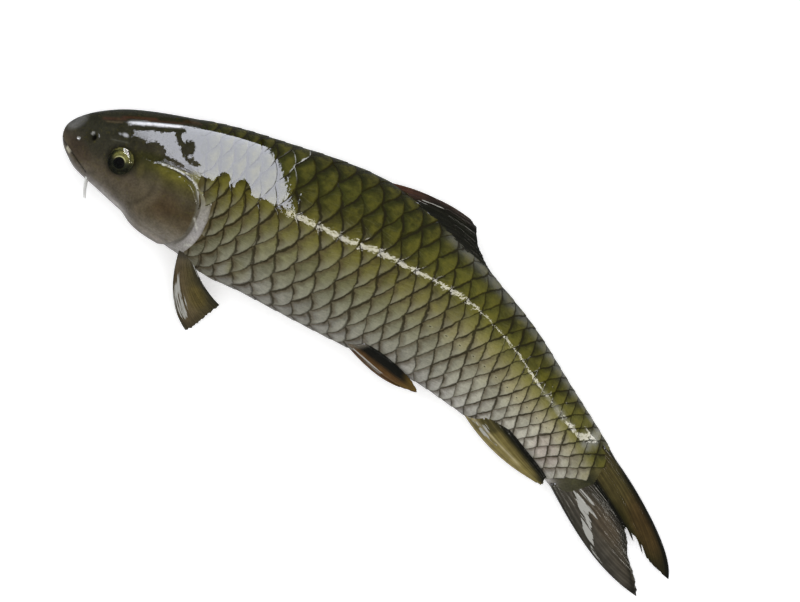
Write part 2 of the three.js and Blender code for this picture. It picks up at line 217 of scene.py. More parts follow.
def girth_table(s):
    """Places round one flank at station s, from back to belly: girth share, n and half thickness."""
    angle = np.linspace(np.pi / 2, -np.pi / 2, FLANK_POINTS)
    up, out = np.sin(angle), np.clip(np.cos(angle), 0, 1)
    square = np.where(up > 0, back_squareness(s), BELLY_SQUARENESS)
    middle = widest_at(s)
    reach = np.where(up > 0, back(s) - middle, middle - belly(s))
    n = middle + reach * np.sign(up) * np.abs(up) ** (2 / square)
    half = half_width(s) * out ** (2 / square)
    length = np.concatenate(([0], np.cumsum(np.hypot(np.diff(n), np.diff(half)))))
    return length / length[-1], n, half


def flank(s, girth):
    """n and half thickness at station s for each share of the girth."""
    share, n, half = girth_table(s)
    return np.interp(girth, share, n), np.interp(girth, share, half)


def flank_table():
    """A function that gives n and half thickness for grids of stations and girth shares."""
    stations = np.arange(TABLE_START, BODY_END + 1.0)
    shares = np.linspace(0, 1, TABLE_SHARES)
    values = np.array([flank(s, shares) for s in stations])

    def value(s, girth):
        """n and half thickness, between the table's places, each kept just short of its last."""
        x = np.clip(s - stations[0], 0, len(stations) - 1.001)
        y = np.clip(np.asarray(girth) * (len(shares) - 1), 0, len(shares) - 1.001)
        i, j = x.astype(int), y.astype(int)
        p, q = x - i, y - j
        mixed = [(values[i, k, j] * (1 - p) + values[i + 1, k, j] * p) * (1 - q)
                 + (values[i, k, j + 1] * (1 - p) + values[i + 1, k, j + 1] * p) * q for k in (0, 1)]
        return mixed[0], mixed[1]

    return value


def on_flank(s, n, above=0.0):
    """The height of the shown flank's surface at one place, or a little above it."""
    _, across, half = girth_table(s)
    return float(middle_height(s) + np.interp(-n, -across, half)) + above


def along_line(s, n, start, end):
    """Distance beside the line from start to end, and the share of the way along it."""
    run, rise = end[0] - start[0], end[1] - start[1]
    length = math.hypot(run, rise)
    share = ((s - start[0]) * run + (n - start[1]) * rise) / length ** 2
    beside = ((n - start[1]) * run - (s - start[0]) * rise) / length
    return beside, share


def streak(s, n, start, end, width):
    """1 on the straight streak from start to end, falling off beside it and at its ends."""
    beside, share = along_line(s, n, start, end)
    return hump(beside, width) * smooth(share / STREAK_END) * smooth((1 - share) / STREAK_END)


def spot(s, n, at, radii, turn=0):
    """1 in an oval turned by so many degrees, falling softly to 0 just outside it."""
    c, k = math.cos(math.radians(turn)), math.sin(math.radians(turn))
    along, across = (s - at[0]) * c + (n - at[1]) * k, (n - at[1]) * c - (s - at[0]) * k
    return 1 - smooth((np.hypot(along / radii[0], across / radii[1]) - SPOT_CORE) / SPOT_FADE)


def outwards(points):
    """The directions straight out of a grid of points, by its own slopes."""
    along = np.gradient(points, axis=0)
    around = np.gradient(points, axis=1)
    out = np.cross(around, along)
    return out / np.maximum(np.linalg.norm(out, axis=-1, keepdims=True), 1e-12)


# ---- making pieces ---------------------------------------------------------------------------


def new_piece(name, points, faces, attributes=None, uv=None, smooth_faces=True):
    """A mesh object at the origin with its place in its mesh.

    An attribute holds one number, three (a direction) or four (a colour) for each point.
    """
    mesh = bpy.data.meshes.new(name)
    mesh.from_pydata([tuple(p) for p in points], [], [tuple(int(i) for i in f) for f in faces])
    mesh.update()
    kinds = {1: ("FLOAT", "value"), 3: ("FLOAT_VECTOR", "vector"), 4: ("FLOAT_COLOR", "color")}
    for key, values in (attributes or {}).items():
        values = np.asarray(values, np.float32).reshape(len(points), -1)
        kind, field = kinds[values.shape[1]]
        mesh.attributes.new(key, kind, "POINT").data.foreach_set(field, values.ravel())
    if uv is not None:
        layer = mesh.uv_layers.new(name="UVMap")
        corner = np.zeros(len(mesh.loops), np.int32)
        mesh.loops.foreach_get("vertex_index", corner)
        layer.data.foreach_set("uv", np.asarray(uv, np.float32)[corner].ravel())
    mesh.polygons.foreach_set("use_smooth", [smooth_faces] * len(mesh.polygons))
    piece = bpy.data.objects.new(name, mesh)
    bpy.context.scene.collection.objects.link(piece)
    return piece


def finish_piece(piece, material):
    """Gives a finished piece its material and its body, and hides the node that it stands for."""
    if not piece.data.materials:
        piece.data.materials.append(material)
    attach(piece, BODY)
    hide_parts(NODE)
    return piece


def turn_outwards(piece):
    """Turns a closed shell's faces outwards."""
    shell = bmesh.new()
    shell.from_mesh(piece.data)
    bmesh.ops.recalc_face_normals(shell, faces=shell.faces)
    shell.to_mesh(piece.data)
    shell.free()


def grid_faces(rows, columns, closed=False, start=0):
    """The quads of a grid of points counted row by row; a closed grid joins its last column up."""
    i, j = np.meshgrid(np.arange(rows - 1), np.arange(columns if closed else columns - 1), indexing="ij")
    k = (j + 1) % columns
    quads = np.stack([i * columns + j, (i + 1) * columns + j, (i + 1) * columns + k, i * columns + k], -1)
    return (quads.reshape(-1, 4) + start).tolist()


def capped_faces(rings, around):
    """The faces of closed rings of points, with a fan to one more point at each end."""
    count = rings * around
    last = count - around
    faces = grid_faces(rings, around, closed=True)
    faces += [(count, j, (j + 1) % around) for j in range(around)]
    faces += [(count + 1, last + (j + 1) % around, last + j) for j in range(around)]
    return faces


def shell_faces(rows, columns):
    """The faces of two grids of points, one behind the other, joined all round their edge."""
    count = rows * columns
    faces = grid_faces(rows, columns) + grid_faces(rows, columns, start=count)
    edge = [i * columns for i in range(rows)]
    edge += [(rows - 1) * columns + j for j in range(1, columns)]
    edge += [i * columns + columns - 1 for i in range(rows - 2, -1, -1)]
    edge += [j for j in range(columns - 2, 0, -1)]
    faces += [(one, two, two + count, one + count) for one, two in zip(edge, edge[1:] + edge[:1])]
    return faces


# ---- colours ---------------------------------------------------------------------------------


def colour(code):
    """A hex colour as linear RGBA."""
    parts = [int(code[i:i + 2], 16) / 255 for i in (1, 3, 5)]
    linear = [p / 12.92 if p <= 0.04045 else ((p + 0.055) / 1.055) ** 2.4 for p in parts]
    return (*linear, 1)


def graded(value, stops):
    """Colours along a value from (value, colour) stops."""
    at, colours = zip(*stops)
    rgba = np.array([colour(c) if isinstance(c, str) else tuple(c) for c in colours])
    return np.stack([np.interp(value, at, rgba[:, k]) for k in range(4)], -1)


def layered(paint, *layers):
    """Each (mask, colour) laid over the paint in turn."""
    for mask, over in layers:
        mask = np.clip(mask, 0, 1)[..., None]
        over = np.array(colour(over)) if isinstance(over, str) else over
        paint = paint * (1 - mask) + over * mask
    return paint


# ---- materials -------------------------------------------------------------------------------


def add(tree, kind, inputs=(), out=0, stops=(), **settings):
    """Adds a node with its settings and links, and gives back one of its outputs.

    Inputs come in order or by name, each a value, a hex colour or another node's output. Stops
    are a colour ramp's.
    """
    node = tree.nodes.new(kind)
    for key, value in settings.items():
        setattr(node, key, value)
    for key, value in inputs.items() if isinstance(inputs, dict) else enumerate(inputs):
        if isinstance(value, bpy.types.NodeSocket):
            tree.links.new(value, node.inputs[key])
        else:
            is_colour = isinstance(value, str) and value.startswith("#")
            node.inputs[key].default_value = colour(value) if is_colour else value
    for index, (position, code) in enumerate(stops):
        elements = node.color_ramp.elements
        element = elements[index] if index < 2 else elements.new(position)
        element.position = position
        element.color = colour(code)
    return node.outputs[out] if node.outputs else node


def blank_material(name):
    """An empty node material and its tree."""
    material = bpy.data.materials.new(name)
    material.use_nodes = True
    material.node_tree.nodes.clear()
    return material, material.node_tree


def wet_surface(tree, base, bumps, ripples, film=1.0, film_normal=None):
    """A matt layer with its own bumps under a film of water with gentler ones.

    Bumps and ripples are (height, strength, distance in mm) patterns, laid one on another.
    """
    layers = {"Base Color": base, "Roughness": 0.6, "Specular IOR Level": 0.0,
              "Coat Weight": film, "Coat Roughness": 0.015, "Coat IOR": 1.36}
    for socket, patterns, normal in (("Normal", bumps, None), ("Coat Normal", ripples, film_normal)):
        for height, strength, distance in patterns:
            inputs = {"Height": height, "Strength": strength, "Distance": distance * MM}
            if normal is not None:
                inputs["Normal"] = normal
            normal = layers[socket] = add(tree, "ShaderNodeBump", inputs)
    shader = add(tree, "ShaderNodeBsdfPrincipled", layers)
    add(tree, "ShaderNodeOutputMaterial", [shader])


def mottled(tree, paint, patterns, light=1.0):
    """The paint made darker and lighter by each (pattern, its low, its high, darkest, lightest)."""
    for pattern, low, high, darkest, lightest in patterns:
        factor = add(tree, "ShaderNodeMapRange", [pattern, low, high, darkest, lightest])
        light = add(tree, "ShaderNodeMath", [light, factor], operation="MULTIPLY")
    light = add(tree, "ShaderNodeCombineColor", [light, light, light])
    return add(tree, "ShaderNodeMix", {0: 1.0, 6: paint, 7: light}, out=2, data_type="RGBA",
               blend_type="MULTIPLY")


def skin_material():
    """Scaleless head skin: brown olive, mottled and finely pored, slimy and wet, dry in patches."""
    material, tree = blank_material("wet_head_skin")
    paint = add(tree, "ShaderNodeAttribute", attribute_name="paint", out="Color")
    dry = add(tree, "ShaderNodeAttribute", attribute_name="dry", out="Fac")
    where = add(tree, "ShaderNodeTexCoord", out="Object")
    broad, fine, fleck = (
        add(tree, "ShaderNodeTexNoise",
            {"Vector": where, "Scale": 1 / (size * MM), "Detail": detail, "Roughness": rough})
        for size, detail, rough in ((7, 5, 0.6), (1.3, 3, 0.5), (2.4, 5, 0.7)))
    pores = add(tree, "ShaderNodeTexVoronoi", {"Vector": where, "Scale": 1 / (1.1 * MM)})
    base = mottled(tree, paint, [(broad, 0.3, 0.7, 0.74, 1.26), (fine, 0.3, 0.7, 0.84, 1.16)])
    olive = add(tree, "ShaderNodeMapRange", [fleck, 0.52, 0.7, 0.0, 0.3], interpolation_type="SMOOTHSTEP")
    base = add(tree, "ShaderNodeMix", {0: olive, 6: base, 7: "#575326"}, out=2, data_type="RGBA")

    # the film of water is broken where the skin is dry
    ragged = add(tree, "ShaderNodeMapRange", [fleck, 0.25, 0.75, -0.6, 0.6])
    broken = add(tree, "ShaderNodeMath", [dry, ragged], operation="ADD")
    film = add(tree, "ShaderNodeMapRange", [broken, 0.4, 0.52, 1.0, 0.0], interpolation_type="SMOOTHSTEP")
    wet_surface(tree, base, [(broad, 0.4, 1.0), (fine, 0.4, 0.3), (pores, 0.25, 0.15)],
                [(fleck, 0.22, 0.35), (fine, 0.25, 0.1)], film)
    return material


FILM_SHARE = 0.92               # how far the water's film smooths over the scales' steps
DEEP_FILM_SHARE = 0.98          # and where it is deep


def scale_material(settings):
    """Bony scales under wet skin: olive above and silver grey below, finely rayed, rimmed dark."""
    material, tree = blank_material("wet_scales")
    paint = add(tree, "ShaderNodeAttribute", attribute_name="paint", out="Color")
    tone, girth, on_line, glint, deep, dry = (
        add(tree, "ShaderNodeAttribute", attribute_name=name, out="Fac")
        for name in ("tone", "girth", "pore", "glint", "deep", "dry"))
    where = add(tree, "ShaderNodeTexCoord", out="Object")
    grain, soft, ripple = (
        add(tree, "ShaderNodeTexNoise",
            {"Vector": where, "Scale": 1 / (size * MM), "Detail": detail, "Roughness": rough})
        for size, detail, rough in ((1.1, 3, 0.5), (5, 4, 0.6), (4.5, 2, 0.5)))

    # place on the scale: a back from its tip, b across it, both in spacings
    plane = add(tree, "ShaderNodeUVMap", uv_map="UVMap")
    wobble = add(tree, "ShaderNodeMapRange", [soft, 0.25, 0.75, -0.09, 0.09])
    a = add(tree, "ShaderNodeSeparateXYZ", [plane], out="X")
    a = add(tree, "ShaderNodeMath", [a, wobble], operation="ADD")
    signed_b = add(tree, "ShaderNodeSeparateXYZ", [plane], out="Y")
    b = add(tree, "ShaderNodeMath", [signed_b], operation="ABSOLUTE")
    bow = add(tree, "ShaderNodeMath", [b, EDGE_ROUND], operation="POWER")
    rear = add(tree, "ShaderNodeMath", [bow, -EDGE_REACH], operation="MULTIPLY")
    behind = add(tree, "ShaderNodeMath", [rear, a], operation="SUBTRACT")
    # the neighbours ahead cover the scale up to the edge that is half a spacing ahead
    beside = add(tree, "ShaderNodeMath", [1.0, b], operation="SUBTRACT", use_clamp=True)
    bow = add(tree, "ShaderNodeMath", [beside, EDGE_ROUND], operation="POWER")
    cover = add(tree, "ShaderNodeMath", [bow, -EDGE_REACH, -0.5], operation="MULTIPLY_ADD")
    ahead = add(tree, "ShaderNodeMath", [a, cover], operation="SUBTRACT")

    # lighter in the middle, and darker just behind the neighbours ahead as painted shade; each scale a little
    # lighter or darker than the next
    heart = add(tree, "ShaderNodeMapRange", [ahead, 0.0, 0.55, 0.68, 1.16], interpolation_type="SMOOTHSTEP")
    base = mottled(tree, paint, [(tone, 0.0, 1.0, 0.82, 1.18), (soft, 0.3, 0.7, 0.82, 1.18),
                                 (grain, 0.3, 0.7, 0.88, 1.12)], heart)

    # fine rays fan out from the scale's hidden root
    forward = add(tree, "ShaderNodeMath", [a, -SCALE_ROOT], operation="ADD")
    angle = add(tree, "ShaderNodeMath", [signed_b, forward], operation="ARCTAN2")
    fan = add(tree, "ShaderNodeMath", [angle, 9.0], operation="MULTIPLY")
    own = add(tree, "ShaderNodeMath", [tone, 60.0], operation="MULTIPLY")
    fan = add(tree, "ShaderNodeCombineXYZ", [fan, forward, own])
    rays = add(tree, "ShaderNodeTexNoise", {"Vector": fan, "Scale": 1.6, "Detail": 4, "Roughness": 0.65})
    pale_ray = add(tree, "ShaderNodeMapRange", [rays, 0.5, 0.75, 0.0, 0.24], interpolation_type="SMOOTHSTEP")
    dark_ray = add(tree, "ShaderNodeMapRange", [rays, 0.5, 0.3, 0.0, 0.22], interpolation_type="SMOOTHSTEP")

    # brown just behind the neighbours ahead and palest at the lower rear, below the side line
    lower = add(tree, "ShaderNodeMapRange", [girth, 0.35, 0.55, 0.0, 1.0])
    brown = add(tree, "ShaderNodeMapRange", [ahead, 0.05, 0.42, 0.5, 0.0], interpolation_type="SMOOTHSTEP")
    pale = add(tree, "ShaderNodeMapRange", [behind, 0.08, 0.65, 0.3, 0.0], interpolation_type="SMOOTHSTEP")
    down = add(tree, "ShaderNodeMapRange", [signed_b, -0.5, 0.5, 0.0, 1.0], interpolation_type="SMOOTHSTEP")

    # the middles of the upper rows' scales are yellow
    yellow = add(tree, "ShaderNodeMapRange", [ahead, 0.15, 0.6, 0.0, 0.5], interpolation_type="SMOOTHSTEP")
    uneven = add(tree, "ShaderNodeMapRange", [soft, 0.35, 0.65, 0.1, 1.0])
    upper = add(tree, "ShaderNodeMapRange", [girth, 0.45, 0.72, 1.0, 0.0])

    # dark pigment along the rear edge, and painted shade in the groove ahead, weaker towards the belly
    rim = add(tree, "ShaderNodeMapRange", [behind, 0.0, 0.09, 0.78, 0.0], interpolation_type="SMOOTHSTEP")
    root = add(tree, "ShaderNodeMath", [ahead], operation="ABSOLUTE")
    root = add(tree, "ShaderNodeMapRange", [root, 0.03, 0.12, 0.85, 0.0], interpolation_type="SMOOTHSTEP")
    dark = add(tree, "ShaderNodeMath", [rim, root], operation="MAXIMUM")
    paler = add(tree, "ShaderNodeMapRange", [girth, 0.6, 1.0, 1.0, 0.75])

    # the side line's pores, each a dark dot in a pale ring
    pore = add(tree, "ShaderNodeVectorMath", [plane, (0.5, 0.0, 0.0)], operation="ADD")
    pore = add(tree, "ShaderNodeVectorMath", [pore, (0.7, 1.5, 1.0)], operation="MULTIPLY")
    pore = add(tree, "ShaderNodeVectorMath", [pore], out="Value", operation="LENGTH")
    ring, dot = (
        add(tree, "ShaderNodeMapRange", [pore, reach / 2, reach, strength, 0.0],
            interpolation_type="SMOOTHSTEP")
        for reach, strength in ((0.15, 0.3), (0.065, 0.8)))

    # painted glints along the rims on the shoulder
    edge = add(tree, "ShaderNodeMapRange", [behind, 0.015, 0.075, 1.0, 0.0], interpolation_type="SMOOTHSTEP")
    lit = add(tree, "ShaderNodeMapRange", [tone, 0.4, 0.6, 0.0, 1.0])

    # the colours are laid over the base in turn, each where all of its masks overlap
    for (mask, *others), over in (
            ((pale_ray, girth), "#b4b093"),
            ((dark_ray,), "#3a3018"),
            ((brown, lower), "#594a33"),
            ((pale, down, lower), "#a9a893"),
            ((yellow, uneven, upper), "#6b6526"),
            ((dark, paler), settings.pigment_and_shade_colour),
            ((ring, on_line), "#a7a48a"),
            ((dot, on_line), "#211d10"),
            ((edge, glint, lit), "#c4c5c0")):
        for other in others:
            mask = add(tree, "ShaderNodeMath", [mask, other], operation="MULTIPLY")
        base = add(tree, "ShaderNodeMix", {0: mask, 6: base, 7: over}, out=2, data_type="RGBA")

    # the film of water smooths over the scales' steps, and where it is deep it lies flat
    geometry = add(tree, "ShaderNodeNewGeometry", out="Normal")
    level = add(tree, "ShaderNodeAttribute", attribute_name="film", out="Vector")
    share = add(tree, "ShaderNodeMapRange", [deep, 0.0, 1.0, FILM_SHARE, DEEP_FILM_SHARE])
    normal = add(tree, "ShaderNodeMix", {0: share, 4: geometry, 5: level}, out=1, data_type="VECTOR")
    normal = add(tree, "ShaderNodeVectorMath", [normal], operation="NORMALIZE")
    calm = settings.film_ripple * 0.2
    strength = add(tree, "ShaderNodeMapRange", [deep, 0.0, 1.0, settings.film_ripple, calm])

    # it is broken where the scales are dry, and along the rear edges that stand out of it
    ragged = add(tree, "ShaderNodeMapRange", [soft, 0.3, 0.7, -0.25, 0.25])
    broken = add(tree, "ShaderNodeMath", [dry, ragged], operation="ADD")
    film = add(tree, "ShaderNodeMapRange", [broken, 0.42, 0.5, 1.0, 0.0])
    edge = add(tree, "ShaderNodeMapRange", [behind, 0.02, 0.06, 0.0, 1.0])
    edge = add(tree, "ShaderNodeMath", [edge, deep], operation="MAXIMUM")
    film = add(tree, "ShaderNodeMath", [film, edge], operation="MULTIPLY")
    wet_surface(tree, base, [(rays, 0.4, 0.25), (grain, 0.3, 0.15)],
                [(ripple, strength, 0.24), (grain, strength, 0.03)], film, normal)
    return material


def fin_material():
    """Wet fins: thin skin over bony rays, streaked along them, with painted glints and sheen and a few pale
    rays where the painter marks them pale.
    """
    material, tree = blank_material("wet_fin_skin")
    paint = add(tree, "ShaderNodeAttribute", attribute_name="paint", out="Color")
    ray, pale = (add(tree, "ShaderNodeAttribute", attribute_name=name, out="Fac") for name in ("ray", "pale"))
    where = add(tree, "ShaderNodeTexCoord", out="Object")
    plane = add(tree, "ShaderNodeUVMap", uv_map="UVMap")
    long = add(tree, "ShaderNodeVectorMath", [plane, (34.0, 2.2, 1.0)], operation="MULTIPLY")
    streaks = add(tree, "ShaderNodeTexNoise", {"Vector": long, "Scale": 1.0, "Detail": 4, "Roughness": 0.6})
    mottle = add(tree, "ShaderNodeTexNoise", {"Vector": where, "Scale": 1 / (4 * MM), "Detail": 4})
    fine = add(tree, "ShaderNodeTexNoise", {"Vector": where, "Scale": 1 / (1 * MM), "Detail": 3})
    base = mottled(tree, paint, [(streaks, 0.3, 0.7, 0.7, 1.32), (mottle, 0.3, 0.7, 0.84, 1.16),
                                 (ray, 0.0, 1.0, 0.86, 1.2)])
    # the painters' pale marks, torn ragged along the rays: mostly painted glints, sheen and reflections, and
    # a few pale rays
    torn = add(tree, "ShaderNodeMapRange", [streaks, 0.34, 0.66, 0.2, 1.8])
    torn = add(tree, "ShaderNodeMath", [pale, torn], operation="MULTIPLY")
    glints_sheen_and_pale_rays = add(tree, "ShaderNodeMapRange", [torn, 0.48, 0.62, 0.0, 0.9], interpolation_type="SMOOTHSTEP")
    base = add(tree, "ShaderNodeMix", {0: glints_sheen_and_pale_rays, 6: base, 7: "#b2b1aa"}, out=2, data_type="RGBA")
    wet_surface(tree, base, [(streaks, 0.3, 0.3), (fine, 0.2, 0.15)], [(mottle, 0.3, 0.3), (fine, 0.2, 0.1)])
    return material


def iris_material(settings):
    """The eyeball: black pupil, a pale ring round it that is a painted reflection, mottled gold above and
    dark green grey below.
    """
    material, tree = blank_material("wet_iris")
    where = add(tree, "ShaderNodeTexCoord", out="Object")
    plane = add(tree, "ShaderNodeUVMap", uv_map="UVMap")
    speck = add(tree, "ShaderNodeTexNoise",
                {"Vector": where, "Scale": 1 / (1.1 * MM), "Detail": 4, "Roughness": 0.7})
    high = add(tree, "ShaderNodeSeparateXYZ", [plane], out="Y")
    high = add(tree, "ShaderNodeMath", [speck, 0.5, high], operation="MULTIPLY_ADD")
    gold = add(tree, "ShaderNodeMapRange", [high, 0.12, 0.62, 0.0, 1.0], interpolation_type="SMOOTHSTEP")
    base = add(tree, "ShaderNodeMix", {0: gold, 6: "#1d2015", 7: settings.iris_colour}, out=2,
               data_type="RGBA")
    dark = add(tree, "ShaderNodeMapRange", [speck, 0.46, 0.6, 0.0, 0.85], interpolation_type="SMOOTHSTEP")
    # the pupil lies a little ahead of the eye's middle and below it
    out = add(tree, "ShaderNodeVectorMath", [plane, (0.04, 0.2, 0.0)], operation="ADD")
    out = add(tree, "ShaderNodeVectorMath", [out], out="Value", operation="LENGTH")
    # the pale ring over the upper side of the pupil is a painted reflection
    ring = add(tree, "ShaderNodeMapRange", [out, 0.66, 0.57, 0.0, 0.45], interpolation_type="SMOOTHSTEP")
    pupil = add(tree, "ShaderNodeMapRange", [out, 0.56, 0.5, 0.0, 1.0], interpolation_type="SMOOTHSTEP")
    rim = add(tree, "ShaderNodeVectorMath", [plane], out="Value", operation="LENGTH")
    rim = add(tree, "ShaderNodeMapRange", [rim, 0.7, 0.95, 0.0, 1.0], interpolation_type="SMOOTHSTEP")
    ring = add(tree, "ShaderNodeMath", [ring, gold], operation="MULTIPLY")
    for mask, over in ((dark, "#2b2a14"), (ring, "#d8d2a0"), (pupil, "#030303"), (rim, "#0b0b07")):
        base = add(tree, "ShaderNodeMix", {0: mask, 6: base, 7: over}, out=2, data_type="RGBA")
    wet_surface(tree, base, [(speck, 0.3, 0.2)], [], film=0.0)
    return material


def cornea_material():
    """The clear skin of the eye: colourless, smooth and wet."""
    material, tree = blank_material("clear_cornea")
    shader = add(tree, "ShaderNodeBsdfPrincipled", {
        "Base Color": "#ffffff",
        "Roughness": 0.01,
        "IOR": 1.34,
        "Transmission Weight": 1.0,
    })
    add(tree, "ShaderNodeOutputMaterial", [shader])
    return material


def barbel_material():
    """A barbel: pale, soft, slightly greyish wet skin."""
    material, tree = blank_material("pale_barbel_skin")
    where = add(tree, "ShaderNodeTexCoord", out="Object")
    fine = add(tree, "ShaderNodeTexNoise", {"Vector": where, "Scale": 1 / (1 * MM), "Detail": 2})
    base = add(tree, "ShaderNodeMix", {0: fine, 6: "#c4c4be", 7: "#ececea"}, out=2, data_type="RGBA")
    wet_surface(tree, base, [(fine, 0.2, 0.2)], [(fine, 0.1, 0.1)])
    return material


# ---- the skin --------------------------------------------------------------------------------

AROUND = 256                    # points in each ring round the body
HEAD_LENGTH = 104               # where the head's close rings end
TAIL_ROOT = 372                 # where the rings of the tail's root begin
NOSE_ROOTS = (0.3, 4.7, 0.1)    # roots of the nose rings' distances: the first, the end, the step
HEAD_STEP, TRUNK_STEP, TAIL_ROOT_STEP = 0.65, 2.6, 1.2
STERN_PAINT = [(0, "#403d24"), (0.14, "#3d3c1a"), (0.28, "#504e20"), (0.38, "#888350"), (0.5, "#a09877"),
               (0.62, "#9f9c8b"), (0.8, "#a3a095"), (1, "#aeaba8")]


def skin_stations():
    """Rings close together over the head's detail and wider over the trunk, where scales cover it."""
    nose = SNOUT + np.arange(*NOSE_ROOTS) ** 2
    head = np.arange(nose[-1] + HEAD_STEP, HEAD_LENGTH, HEAD_STEP)
    trunk = np.arange(HEAD_LENGTH, TAIL_ROOT, TRUNK_STEP)
    root = np.arange(TAIL_ROOT, BODY_END, TAIL_ROOT_STEP)
    return np.concatenate([nose, head, trunk, root, [BODY_END]])


def gill_radius(s, n):
    """1 on the gill cover's rear edge, less inside it."""
    across = np.abs(n - GILL_COVER["n"]) / GILL_COVER["height"]
    along = np.maximum(s - GILL_COVER["s"], 0) / GILL_COVER["length"]
    return (along ** GILL_COVER["square"] + across ** GILL_COVER["square"]) ** (1 / GILL_COVER["square"])


